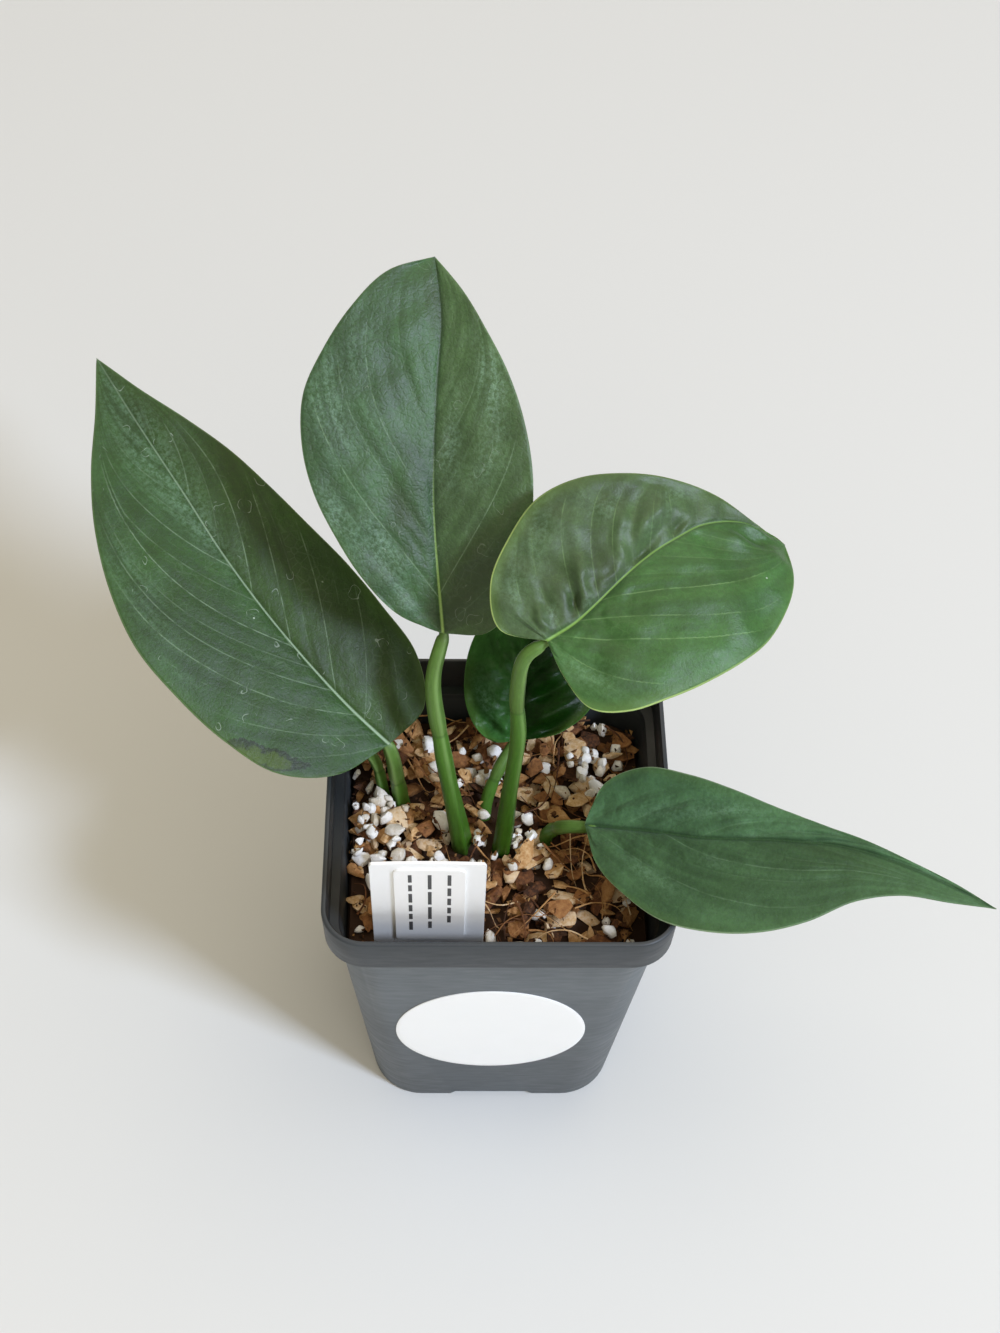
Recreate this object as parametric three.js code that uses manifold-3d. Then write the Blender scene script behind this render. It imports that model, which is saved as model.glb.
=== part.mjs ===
// A young velvet-leaved monstera in a square nursery pot, in millimetres, +Z up.
// The origin is the centre of the pot's underside, and the pot's front faces -Y.
import * as THREE from 'three';
import { mergeVertices } from 'three/addons/utils/BufferGeometryUtils.js';
import Module from 'manifold-3d';

// Pot
const POT_HEIGHT = 105;
const RIM_WIDTH = 88.9;
const RIM_BAND = 12.6;
const RIM_WALL = 1.5;
const BODY_TOP_WIDTH = 82.8;
const BASE_WIDTH = 68;
const WALL = 1.2;
const FLOOR_TOP = 3.9;
const CORNER_BASE = 14.4;
const CORNER_TOP = 10.8;
const CORNER_STEPS = 5;
const FOOT_EASE = 0.9;
const RIM_DRAFT = 0.4;
const LEDGE_RISE = 0.7;
const LIP_ROUND = 1.2;
const LIP_INSET = 0.6;
const LIP_STEPS = 2;
const FLOOR_ROUND = 1.5;
const CHANNEL_WIDTH = 25;
const CHANNEL_HEIGHT = 2.5;
const CHANNEL_FLARE = 2.2;
const PAD_RADIUS = 7;
const PAD_FLARE = 1;
const DRAIN_RADIUS = 3.5;
const DRAIN_OFFSET = 18;

// Potting mix and what stands in it
const SEAT_GAP = 0.3;
const MIX_TOP = 86;
const GRAIN_COUNT = 110;
const GRAIN_SIZE = [2.8, 5];
const GRAIN_STAND = 0.2;
const GRAIN_SEED = 11;
const STEM_RADII = [3, 3.6];
const STEM_SIDES = 10;
const STEM_STEPS = 14;
const STEM_PATH = [
  [-35, 14.5, 71.5], [-27, 10.5, 72], [-15, 5, 72], [-5, 1.5, 72], [5, -0.5, 72], [15, -1, 72.5],
];

// Plant tag, its paper label, and the round sticker on the pot
const TAG_WIDTH = 27.5;
const TAG_LENGTH = 76;
const TAG_THICKNESS = 0.7;
const TAG_POINT = 16;
const TAG_POINT_SHARE = 0.12;
const TAG_CURL = 0.9;
const TAG_LEAN = 8;
const TAG_TOP = [-17.8, -39.8, 136];
const LABEL_WIDTH = 17;
const LABEL_LENGTH = 43;
const LABEL_THICKNESS = 0.3;
const LABEL_DROP = 2.6;
const LABEL_SHIFT = 0.4;
const STICKER_RADIUS = 25.4;
const STICKER_THICKNESS = 0.3;
const STICKER_CENTRE = [-1.2, 48];

// Leaves. A blade is laid out flat, with u from the petiole to the tip and v to its left.
// It is then folded at the midrib, bent down along its length, and turned into place.
const BLADE_THICKNESS = 0.75;
const MIDRIB_DEPTH = 1.5;
const MIDRIB_SHARE = 0.09;
const BLADE_COLUMNS = [0, MIDRIB_SHARE, 0.3, 0.55, 0.8, 1];
const BASE_FAN = 0.2;
const BEND_STEPS = 66;
const RIGHT_WAVE_SHIFT = 1.3;
const LEAVES = {
  left: {
    base: [-28.5, 12.5, 109.5], heading: 135, rise: 35, roll: -10,
    length: 126, droop: 16, droopPower: 1.3, bow: 5,
    foldLeft: 8, foldRight: 8, halfWidth: 35, recurve: 2.5, wave: 0.5, waveCount: 2.5, wavePhase: 0.1,
    leftEdge: [[0, 0], [2, 16], [11.5, 28.5], [26, 34.5], [41.5, 37.5], [57.5, 38.5], [73, 35],
      [88, 28.5], [101, 20], [113.5, 9.5], [126, 0]],
    rightEdge: [[0, 0], [2.5, -13], [15, -19.5], [30, -19.5], [44, -18.5], [58, -16.5], [72, -14.5],
      [85.5, -12], [99, -8], [112.5, -3.5], [126, 0]],
    rows: 26,
  },
  top: {
    base: [-14.6, 19.8, 147], heading: 94, rise: 53, roll: -8,
    length: 92, droop: 20, droopPower: 1.2, bow: 1,
    foldLeft: 16, foldRight: 12, halfWidth: 31, recurve: 3, wave: 0.5, waveCount: 2, wavePhase: 0.3,
    leftEdge: [[0, 0], [5.5, 10.5], [14.5, 18.5], [24.5, 24.5], [35.5, 29.5], [47, 32], [59, 31.5],
      [69.5, 26.5], [79.5, 19.5], [88, 11], [92, 0]],
    rightEdge: [[0, 0], [0.5, -11], [8.5, -18], [19.5, -21.5], [30.5, -23], [41.5, -23], [53, -21],
      [63.5, -17.5], [73.5, -12.5], [83, -7], [92, 0]],
    rows: 22,
  },
  right: {
    base: [9.9, 3.4, 165], heading: 19, rise: 17, roll: 25,
    length: 67.5, droop: 48, droopPower: 1.8, bow: 10.5,
    foldLeft: 10, foldRight: 9, halfWidth: 32, recurve: 4, wave: 0.5, waveCount: 2.5, wavePhase: 0.6,
    leftEdge: [[0, 0], [-9, 7], [-6.5, 17.5], [1.5, 25.5], [11.5, 31.5], [23, 32], [34, 28.5],
      [44, 23], [53, 16], [60.5, 7.5], [67.5, 0]],
    rightEdge: [[0, 0], [0, -9.5], [2.5, -19], [10.5, -23.5], [20.5, -24.5], [30, -24.5], [39.5, -23.5],
      [48.5, -21], [56.5, -15.5], [63, -8.5], [67.5, 0]],
    rows: 22,
  },
  back: {
    base: [4.4, 19.8, 101.3], heading: 80, rise: 42, roll: 0,
    length: 46, droop: 20, droopPower: 1.2, bow: 0,
    foldLeft: 6, foldRight: 12, halfWidth: 18, recurve: 3, wave: 0.6, waveCount: 2.5, wavePhase: 0.2,
    leftEdge: [[0, 0], [-1.2, 5], [2, 10.5], [9, 14.5], [18, 15.5], [27, 14], [35.5, 9], [42, 4], [46, 0]],
    rightEdge: [[0, 0], [1.5, -6], [4, -12], [10, -18], [18, -20.5], [26.5, -18], [34.5, -11.5],
      [41, -5], [46, 0]],
    rows: 16,
  },
  low: {
    base: [22.3, -7.3, 102], heading: -22, rise: 21, roll: 19,
    length: 106.5, droop: 38, droopPower: 1.2, bow: 4.5,
    foldLeft: 10, foldRight: 8, halfWidth: 25, recurve: 1.5, wave: 0.4, waveCount: 2.5, wavePhase: 0.4,
    leftEdge: [[0, 0], [3.5, 11], [13.5, 16.5], [25.5, 16], [37, 14], [48.5, 11.5], [60.5, 9.5],
      [72, 8], [84, 5.5], [95.5, 3], [106.5, 0]],
    rightEdge: [[0, 0], [6.5, -10.5], [16, -17.5], [27, -22.5], [39, -23], [51, -20.5], [61.5, -15.5],
      [71.5, -8], [82.5, -3.5], [94.5, -2], [106.5, 0]],
    rows: 24,
  },
  hidden: {
    base: [-36.5, 15.5, 108], heading: 140, rise: 14, roll: 0,
    length: 46, droop: 22, droopPower: 1.2, bow: 0,
    foldLeft: 8, foldRight: 8, halfWidth: 14, recurve: 1.5, wave: 0.4, waveCount: 2, wavePhase: 0,
    leftEdge: [[0, 0], [1, 7], [7, 12], [15, 14], [23, 12.5], [31, 9], [39, 4.5], [46, 0]],
    rightEdge: [[0, 0], [1, -7], [7, -12], [15, -14], [23, -12.5], [31, -9], [39, -4.5], [46, 0]],
    rows: 14,
  },
};

// Petioles: a path up from the stem, and the radius at its two ends. Each path is ended
// by a last point just behind and under the blade's base.
const PETIOLE_END = [-0.9, 0, -1.7];
const PETIOLE_SIDES = 8;
const PETIOLE_STEPS_A_POINT = 4;
const PETIOLES = {
  left: {
    path: [[-25.2, 9.7, 76.2], [-25.8, 11, 88], [-26.8, 11.7, 97], [-27.6, 12.1, 104]],
    radii: [2.3, 1.6],
  },
  top: {
    path: [[-9.4, 1, 76.2], [-9.8, -3, 88], [-11.4, -0.8, 99], [-14.8, 6.4, 118], [-17, 14, 135.2]],
    radii: [2.6, 1.6],
  },
  right: {
    path: [[0.8, -0.2, 76.2], [1.2, -4.2, 88], [2.4, -3.1, 107], [4.2, -0.5, 132], [3.5, 1.2, 147],
      [5.2, 2.7, 160]],
    radii: [2.5, 1.6],
  },
  back: {
    path: [[-3.8, 4.6, 76], [-2.4, 10.5, 88], [0.6, 15, 95]],
    radii: [1.8, 1.4],
  },
  low: {
    path: [[11.6, -1, 76.6], [13.6, -0.9, 88], [17.4, -4.6, 97]],
    radii: [2, 1.5],
  },
  hidden: {
    path: [[-30.4, 12.4, 76], [-30.6, 13.5, 88], [-32.4, 14.6, 99]],
    radii: [1.6, 1.3],
  },
};

const radians = THREE.MathUtils.degToRad;
const wasm = await Module();
wasm.setup();

// One closed, indexed geometry from loose triangles, without the triangles that closed up to a line
function closedGeometry(corners) {
  const loose = new THREE.BufferGeometry();
  loose.setAttribute('position', new THREE.Float32BufferAttribute(corners.flat(), 3));
  const merged = mergeVertices(loose, 1e-4);
  const index = [];
  for (let i = 0; i < merged.index.count; i += 3) {
    const triangle = [0, 1, 2].map((k) => merged.index.getX(i + k));
    if (new Set(triangle).size === 3) index.push(...triangle);
  }
  merged.setIndex(index);
  merged.computeVertexNormals();
  return merged;
}

function toSolid(geometry) {
  const bare = geometry.clone();
  bare.deleteAttribute('normal');
  bare.deleteAttribute('uv');
  const merged = mergeVertices(bare, 1e-4);
  return new wasm.Manifold(new wasm.Mesh({
    numProp: 3,
    vertProperties: new Float32Array(merged.attributes.position.array),
    triVerts: new Uint32Array(merged.index.array),
  }));
}

// The largest connected piece of a solid, as a geometry
function fromSolid(solid) {
  const whole = solid.decompose().sort((a, b) => b.volume() - a.volume())[0];
  const mesh = whole.getMesh();
  const geometry = new THREE.BufferGeometry();
  geometry.setAttribute('position', new THREE.Float32BufferAttribute(mesh.vertProperties, 3));
  geometry.setIndex([...mesh.triVerts]);
  geometry.computeVertexNormals();
  return geometry;
}

// A closed skin through rings of equal count, each counter-clockwise seen from the last ring's side
function skin(rings) {
  const corners = [];
  const count = rings[0].length;
  const middle = (ring) => [0, 1, 2].map((k) => ring.reduce((sum, p) => sum + p[k], 0) / count);
  const first = middle(rings[0]);
  const last = middle(rings[rings.length - 1]);
  for (let i = 0; i < count; i += 1) {
    const j = (i + 1) % count;
    corners.push(first, rings[0][j], rings[0][i]);
    corners.push(last, rings[rings.length - 1][i], rings[rings.length - 1][j]);
    for (let r = 0; r + 1 < rings.length; r += 1) {
      corners.push(rings[r][i], rings[r][j], rings[r + 1][j]);
      corners.push(rings[r][i], rings[r + 1][j], rings[r + 1][i]);
    }
  }
  return closedGeometry(corners);
}

// A level square outline with round corners
function squareRing({ z, half, corner }) {
  const points = [];
  [[1, 1], [-1, 1], [-1, -1], [1, -1]].forEach(([sx, sy], quarter) => {
    for (let i = 0; i <= CORNER_STEPS; i += 1) {
      const angle = (quarter + i / CORNER_STEPS) * Math.PI / 2;
      const x = sx * (half - corner) + corner * Math.cos(angle);
      const y = sy * (half - corner) + corner * Math.sin(angle);
      points.push([x, y, z]);
    }
  });
  return points;
}

const ledgeHeight = POT_HEIGHT - RIM_BAND;
const bodyHalf = (z) => THREE.MathUtils.mapLinear(z, 0, ledgeHeight, BASE_WIDTH / 2, BODY_TOP_WIDTH / 2);
const bodyCorner = (z) => THREE.MathUtils.mapLinear(z, 0, ledgeHeight, CORNER_BASE, CORNER_TOP);
const bodyRing = (z, inset) => squareRing({ z, half: bodyHalf(z) - inset, corner: bodyCorner(z) - inset });

function potGeometry() {
  const rim = RIM_WIDTH / 2;
  const lip = Array.from({ length: LIP_STEPS + 1 }, (_, i) => {
    const angle = i / LIP_STEPS * Math.PI / 2;
    const inset = LIP_INSET * (1 - Math.cos(angle));
    const z = POT_HEIGHT - LIP_ROUND * (1 - Math.sin(angle));
    return squareRing({ z, half: rim - inset, corner: CORNER_TOP - inset });
  });
  const outside = skin([
    bodyRing(0, FOOT_EASE),
    bodyRing(FOOT_EASE, 0),
    bodyRing(ledgeHeight, 0),
    squareRing({ z: ledgeHeight + LEDGE_RISE, half: rim - RIM_DRAFT, corner: CORNER_TOP }),
    ...lip,
  ]);
  const shoulder = ledgeHeight + WALL;
  const mouth = { half: rim - RIM_WALL, corner: CORNER_TOP - RIM_WALL };
  const inside = skin([
    bodyRing(FLOOR_TOP, WALL + FLOOR_ROUND),
    bodyRing(FLOOR_TOP + FLOOR_ROUND, WALL),
    bodyRing(shoulder, WALL),
    squareRing({ ...mouth, z: shoulder + LEDGE_RISE, half: mouth.half - RIM_DRAFT / 2 }),
    squareRing({ ...mouth, z: POT_HEIGHT + 1 }),
  ]);
  // Two crossing channels under the floor leave four corner feet and a pad in the middle
  const half = CHANNEL_WIDTH / 2;
  const arch = new THREE.Shape([
    new THREE.Vector2(-half, -1),
    new THREE.Vector2(half, -1),
    new THREE.Vector2(half, 0),
    new THREE.Vector2(half - CHANNEL_FLARE, CHANNEL_HEIGHT),
    new THREE.Vector2(CHANNEL_FLARE - half, CHANNEL_HEIGHT),
    new THREE.Vector2(-half, 0),
  ]);
  const channel = new THREE.ExtrudeGeometry(arch, { depth: BASE_WIDTH + 20, bevelEnabled: false });
  channel.translate(0, 0, -BASE_WIDTH / 2 - 10).rotateX(Math.PI / 2);
  const crossing = toSolid(channel).add(toSolid(channel.clone().rotateZ(Math.PI / 2)));
  const padDepth = 2 * (CHANNEL_HEIGHT + 1);
  const pad = new THREE.CylinderGeometry(PAD_RADIUS + PAD_FLARE, PAD_RADIUS - PAD_FLARE, padDepth, 20);
  pad.rotateX(Math.PI / 2);
  let pot = toSolid(outside).subtract(toSolid(inside)).subtract(crossing.subtract(toSolid(pad)));
  for (let i = 0; i < 4; i += 1) {
    const drain = new THREE.CylinderGeometry(DRAIN_RADIUS, DRAIN_RADIUS, 20, 16).rotateX(Math.PI / 2);
    drain.translate(DRAIN_OFFSET, 0, 0).rotateZ(i * Math.PI / 2);
    pot = pot.subtract(toSolid(drain));
  }
  return fromSolid(pot);
}

// A round rod along a smooth path, with its radius going evenly from one end to the other
function rodGeometry(path, radii, sides, steps, swell = 0) {
  const curve = new THREE.CatmullRomCurve3(path.map((p) => new THREE.Vector3(...p)));
  const frames = curve.computeFrenetFrames(steps);
  const rings = [];
  for (let i = 0; i <= steps; i += 1) {
    const centre = curve.getPointAt(i / steps);
    const radius = THREE.MathUtils.lerp(radii[0], radii[1], i / steps) + swell;
    const ring = [];
    for (let k = 0; k < sides; k += 1) {
      const angle = k / sides * Math.PI * 2;
      const point = centre.clone();
      point.addScaledVector(frames.normals[i], radius * Math.cos(angle));
      point.addScaledVector(frames.binormals[i], radius * Math.sin(angle));
      ring.push(point.toArray());
    }
    rings.push(ring);
  }
  return skin(rings);
}

const stemGeometry = (swell = 0) => rodGeometry(STEM_PATH, STEM_RADII, STEM_SIDES, STEM_STEPS, swell);

// A blade rolls about its midrib, rises, and then turns to its heading
function bladeTurn({ roll, rise, heading }) {
  return new THREE.Euler(radians(roll), -radians(rise), radians(heading), 'ZYX');
}

function petioleGeometry(name, swell = 0) {
  const { path, radii } = PETIOLES[name];
  const leaf = LEAVES[name];
  const end = new THREE.Vector3(...PETIOLE_END).applyEuler(bladeTurn(leaf));
  end.add(new THREE.Vector3(...leaf.base));
  const steps = PETIOLE_STEPS_A_POINT * path.length;
  return rodGeometry([...path, end.toArray()], radii, PETIOLE_SIDES, steps, swell);
}

// A thin card in the XZ plane, curled about its length, with its lower end cut to a point
function cardGeometry({ width, length, thickness, point, curl, front = 0 }) {
  const card = new THREE.BoxGeometry(width, thickness, length, 8, 1, point ? 6 : 3);
  const position = card.attributes.position;
  for (let i = 0; i < position.count; i += 1) {
    const drop = length / 2 - position.getZ(i);
    const keep = point ? Math.min(1, THREE.MathUtils.lerp(TAG_POINT_SHARE, 1, (length - drop) / point)) : 1;
    const x = position.getX(i) * keep;
    const y = position.getY(i) - front - curl * (2 * x / TAG_WIDTH) ** 2;
    position.setXYZ(i, x, y, -drop);
  }
  return closedGeometry(looseTriangles(card));
}

function looseTriangles(geometry) {
  const flat = geometry.toNonIndexed().attributes.position;
  return Array.from({ length: flat.count }, (_, i) => [flat.getX(i), flat.getY(i), flat.getZ(i)]);
}

const tagGeometry = (swell = 0) => cardGeometry({
  width: TAG_WIDTH + 2 * swell,
  length: TAG_LENGTH + swell,
  thickness: TAG_THICKNESS + 2 * swell,
  point: TAG_POINT,
  curl: TAG_CURL,
});

function labelGeometry() {
  const front = TAG_THICKNESS / 2 + SEAT_GAP + LABEL_THICKNESS / 2;
  const card = { width: LABEL_WIDTH, length: LABEL_LENGTH, thickness: LABEL_THICKNESS, curl: TAG_CURL };
  return cardGeometry({ ...card, front });
}

// The same seeded draw each time
function seededRandom(seed) {
  let state = seed;
  return () => {
    state = (state * 1664525 + 1013904223) % 4294967296;
    return state / 4294967296;
  };
}

// Loose bark and perlite: a bed with coarse grains sunk into its top, and plain holes for what stands in it
function mixGeometry(tag) {
  const random = seededRandom(GRAIN_SEED);
  const inset = WALL + SEAT_GAP;
  const bed = skin([
    bodyRing(FLOOR_TOP + SEAT_GAP, inset + 1.5),
    bodyRing(FLOOR_TOP + 1.5 + SEAT_GAP, inset),
    bodyRing(MIX_TOP - 3, inset),
    bodyRing(MIX_TOP, inset + 2.5),
  ]);
  let mix = toSolid(bed);
  const reach = bodyHalf(MIX_TOP) - inset;
  for (let i = 0; i < GRAIN_COUNT; i += 1) {
    const size = THREE.MathUtils.lerp(GRAIN_SIZE[0], GRAIN_SIZE[1], random() ** 1.5);
    const grain = new THREE.OctahedronGeometry(size, 0);
    grain.scale(1, 0.6 + 0.4 * random(), 0.55 + 0.3 * random());
    grain.rotateX(random() * 1.2).rotateZ(random() * Math.PI * 2);
    const span = 2 * (reach - size - 0.8);
    grain.translate((random() - 0.5) * span, (random() - 0.5) * span, MIX_TOP + GRAIN_STAND * size);
    mix = mix.add(toSolid(grain));
  }
  mix = mix.subtract(toSolid(stemGeometry(SEAT_GAP)));
  Object.keys(PETIOLES).forEach((name) => {
    mix = mix.subtract(toSolid(petioleGeometry(name, SEAT_GAP)));
  });
  const slot = tagGeometry(SEAT_GAP).applyMatrix4(tag.matrix);
  return fromSolid(mix.subtract(toSolid(slot)));
}

// The flat chord of a blade, bent down more and more towards the tip
function bentChord({ length, droop, droopPower }) {
  const step = length * 1.1 / BEND_STEPS;
  const slope = (u) => -radians(droop) * (Math.max(0, u) / length) ** droopPower;
  const chord = [{ x: 0, z: 0 }];
  for (let i = 0; i < BEND_STEPS; i += 1) {
    const tilt = slope((i + 0.5) * step);
    chord.push({ x: chord[i].x + step * Math.cos(tilt), z: chord[i].z + step * Math.sin(tilt) });
  }
  return (u) => {
    if (u <= 0) return { x: u, z: 0, slope: 0 };
    const i = Math.min(BEND_STEPS - 1, Math.floor(u / step));
    const part = u / step - i;
    return {
      x: THREE.MathUtils.lerp(chord[i].x, chord[i + 1].x, part),
      z: THREE.MathUtils.lerp(chord[i].z, chord[i + 1].z, part),
      slope: slope(u),
    };
  };
}

function bladeGeometry(leaf) {
  const chord = bentChord(leaf);
  const edgeCurve = (points) => new THREE.CatmullRomCurve3(
    points.map(([u, v]) => new THREE.Vector3(u, v, 0)), false, 'catmullrom', 0.5);
  const edges = [edgeCurve(leaf.rightEdge), edgeCurve(leaf.leftEdge)];
  const midrib = (u) => leaf.bow * Math.sin(Math.PI * THREE.MathUtils.clamp(u / leaf.length, 0, 1));
  const place = (u, v, lift) => {
    const offset = v - midrib(u);
    const share = Math.abs(offset) / leaf.halfWidth;
    const fold = Math.tan(radians(offset > 0 ? leaf.foldLeft : leaf.foldRight));
    const turns = leaf.waveCount * u / leaf.length + leaf.wavePhase;
    const wave = leaf.wave * Math.sin(2 * Math.PI * turns + (offset < 0 ? RIGHT_WAVE_SHIFT : 0)) * share ** 2;
    const height = Math.abs(offset) * fold - leaf.recurve * share ** 3 + wave + lift;
    const { x, z, slope } = chord(u);
    return [x - Math.sin(slope) * height, v, z + Math.cos(slope) * height];
  };
  const columns = [
    ...BLADE_COLUMNS.slice(1).reverse().map((k) => [0, k]),
    ...BLADE_COLUMNS.map((k) => [1, k]),
  ];
  const rows = [];
  for (let i = 0; i <= leaf.rows; i += 1) {
    const s = i / leaf.rows;
    const u = leaf.length * Math.max(0, (s - BASE_FAN) / (1 - BASE_FAN));
    const spine = new THREE.Vector3(u, midrib(u), 0);
    const ends = edges.map((edge) => edge.getPoint(s));
    rows.push(columns.map(([side, k]) => {
      const p = spine.clone().lerp(ends[side], k);
      const ridge = MIDRIB_DEPTH * (1 - u / leaf.length) * Math.max(0, 1 - k / MIDRIB_SHARE);
      return {
        top: place(p.x, p.y, BLADE_THICKNESS / 2),
        under: place(p.x, p.y, -BLADE_THICKNESS / 2 - ridge),
      };
    }));
  }
  const corners = [];
  for (let i = 0; i < leaf.rows; i += 1) {
    for (let j = 0; j + 1 < columns.length; j += 1) {
      const [a, b, c, d] = [rows[i][j], rows[i + 1][j], rows[i + 1][j + 1], rows[i][j + 1]];
      corners.push(a.top, b.top, c.top, a.top, c.top, d.top);
      corners.push(a.under, c.under, b.under, a.under, d.under, c.under);
    }
    const last = columns.length - 1;
    const [p, q, r, s] = [rows[i][0], rows[i + 1][0], rows[i][last], rows[i + 1][last]];
    corners.push(p.top, p.under, q.under, p.top, q.under, q.top);
    corners.push(r.top, s.under, r.under, r.top, s.top, s.under);
  }
  return closedGeometry(corners);
}

const material = (color, roughness) => new THREE.MeshStandardMaterial({ color, roughness, metalness: 0 });

function piece(name, geometry, finish) {
  const mesh = new THREE.Mesh(geometry, finish);
  mesh.name = name;
  return mesh;
}

const plant = new THREE.Group();
plant.add(piece('pot', potGeometry(), material('#2b2e30', 0.5)));

const tag = piece('tag', tagGeometry(), material('#f4f5f5', 0.45));
tag.position.set(...TAG_TOP);
tag.rotation.x = radians(TAG_LEAN);
tag.updateMatrix();
const label = piece('tag_label', labelGeometry(), material('#fbfbf9', 0.7));
label.position.set(LABEL_SHIFT, 0, -LABEL_DROP);
tag.add(label);
plant.add(tag);

plant.add(piece('potting_mix', mixGeometry(tag), material('#8a5f3a', 0.95)));
plant.add(piece('stem', stemGeometry(), material('#5f7d3a', 0.7)));

const sticker = new THREE.CylinderGeometry(STICKER_RADIUS, STICKER_RADIUS, STICKER_THICKNESS, 48);
const wallTilt = Math.atan2(bodyHalf(ledgeHeight) - bodyHalf(0), ledgeHeight);
const stickerMesh = piece('pot_sticker', sticker, material('#fbfbf9', 0.6));
const stickerStand = SEAT_GAP + STICKER_THICKNESS / 2;
stickerMesh.position.set(
  STICKER_CENTRE[0],
  -bodyHalf(STICKER_CENTRE[1]) - stickerStand * Math.cos(wallTilt),
  STICKER_CENTRE[1] - stickerStand * Math.sin(wallTilt),
);
stickerMesh.rotation.x = wallTilt;
plant.add(stickerMesh);

Object.entries(LEAVES).forEach(([name, leaf]) => {
  plant.add(piece(`petiole_${name}`, petioleGeometry(name), material('#6f9c3f', 0.55)));
  const blade = piece(`leaf_${name}`, bladeGeometry(leaf), material('#3f6a45', 0.6));
  blade.position.set(...leaf.base);
  blade.rotation.copy(bladeTurn(leaf));
  plant.add(blade);
});

export default plant;
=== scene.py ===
# %% [markdown]
# # A potted black velvet monstera
#
# The real thing is a young houseplant, about 21 cm tall with its pot. Six leaves rise on round stalks
# from a creeping stem, which lies buried in a loose mix of bark, coir and perlite. The mix fills a square
# nursery pot of black plastic, with a white plant tag in it and a round paper sticker on its front.
#
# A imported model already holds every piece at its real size. What it can't hold is the look: the velvet,
# the veins, the crumbs of bark. This notebook builds a finer mesh in the place of each of its pieces, by
# the same rules and from the same sizes, and gives each one the surface of the real material.

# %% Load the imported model
import math
import random
from functools import partial

import bmesh
import bpy
import numpy as np
from mathutils import Matrix, Vector


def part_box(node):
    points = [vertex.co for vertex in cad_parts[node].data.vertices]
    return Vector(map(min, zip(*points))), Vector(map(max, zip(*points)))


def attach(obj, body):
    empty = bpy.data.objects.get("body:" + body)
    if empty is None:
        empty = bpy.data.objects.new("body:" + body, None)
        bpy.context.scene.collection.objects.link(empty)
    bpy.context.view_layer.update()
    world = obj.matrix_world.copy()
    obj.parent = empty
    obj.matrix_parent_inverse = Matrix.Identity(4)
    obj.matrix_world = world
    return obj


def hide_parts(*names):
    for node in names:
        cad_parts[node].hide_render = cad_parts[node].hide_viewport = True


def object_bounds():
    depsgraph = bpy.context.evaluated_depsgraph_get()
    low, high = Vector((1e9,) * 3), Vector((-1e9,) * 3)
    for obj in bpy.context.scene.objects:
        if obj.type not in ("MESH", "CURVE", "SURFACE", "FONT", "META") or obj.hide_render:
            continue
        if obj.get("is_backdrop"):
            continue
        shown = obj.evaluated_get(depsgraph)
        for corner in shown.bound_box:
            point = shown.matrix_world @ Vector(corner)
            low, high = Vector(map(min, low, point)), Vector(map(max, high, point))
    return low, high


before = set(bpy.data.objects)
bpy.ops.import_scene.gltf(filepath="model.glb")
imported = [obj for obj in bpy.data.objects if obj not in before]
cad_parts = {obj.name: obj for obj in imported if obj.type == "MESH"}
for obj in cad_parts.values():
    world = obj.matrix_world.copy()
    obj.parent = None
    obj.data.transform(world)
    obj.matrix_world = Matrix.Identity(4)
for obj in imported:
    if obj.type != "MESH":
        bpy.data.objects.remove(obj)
cad_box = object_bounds()
print("packed pieces:", ", ".join(sorted(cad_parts)))

# %% [markdown]
# ## The camera
#
# The plant is looked down on from the front, from about half a metre, with a lens a little longer than
# normal. A longer lens from further away would flatten the pot's taper, which here runs strongly
# together towards the floor. The camera is aimed at a point above the pot and turned a little about its
# own axis, as a hand-held one is.

# %% Place the camera
CAMERA_PLACE = Vector((-0.0142, -0.2875, 0.5357))
CAMERA_AIM = Vector((0.0010, 0.0454, 0.1000))
CAMERA_ROLL = math.radians(2.43)
LENS_MM = 54.1
SENSOR_MM = 36

scene = bpy.context.scene
camera = bpy.data.objects.new("camera", bpy.data.cameras.new("camera"))
scene.collection.objects.link(camera)
camera.data.lens = LENS_MM
camera.data.sensor_width = SENSOR_MM
camera.location = CAMERA_PLACE
aimed = (CAMERA_AIM - CAMERA_PLACE).to_track_quat("-Z", "Y").to_matrix()
camera.rotation_euler = (aimed @ Matrix.Rotation(CAMERA_ROLL, 3, "Z")).to_euler()
scene.camera = camera
print("camera stands", round((CAMERA_PLACE - CAMERA_AIM).length, 3), "m from its aim")

# %% [markdown]
# ## Helpers for colour and shader nodes
#
# Colours are written the way a colour picker shows them, as sRGB hex, and turned to the linear values
# that a renderer adds up. Every shader is a chain of nodes, and one small function adds a node, sets it
# and links it, so that each line of a material says one step of it.

# %% Colour and node helpers
MM = 0.001
SMOOTH = {"interpolation_type": "SMOOTHSTEP"}
TIMES = {"operation": "MULTIPLY"}
LARGER = {"operation": "MAXIMUM"}
COLOUR = {"data_type": "RGBA"}  # a Mix node set so blends the colours at its inputs 6 and 7


def linear(colour):
    """The linear red, green, blue and alpha of a colour written as sRGB hex."""
    parts = [int(colour[i:i + 2], 16) / 255 for i in (0, 2, 4)]
    return tuple(c / 12.92 if c <= 0.04045 else ((c + 0.055) / 1.055) ** 2.4 for c in parts) + (1.0,)


def add(tree, kind, inputs=(), **settings):
    """A new shader node with these settings. Each input is a value, a socket or another node."""
    node = tree.nodes.new("ShaderNode" + kind)
    for name, value in settings.items():
        setattr(node, name, value)
    for key, value in inputs.items() if isinstance(inputs, dict) else enumerate(inputs):
        if isinstance(value, bpy.types.Node):
            value = next(socket for socket in value.outputs if socket.enabled)
        if isinstance(value, bpy.types.NodeSocket):
            tree.links.new(value, node.inputs[key])
        else:
            node.inputs[key].default_value = value
    return node


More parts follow.
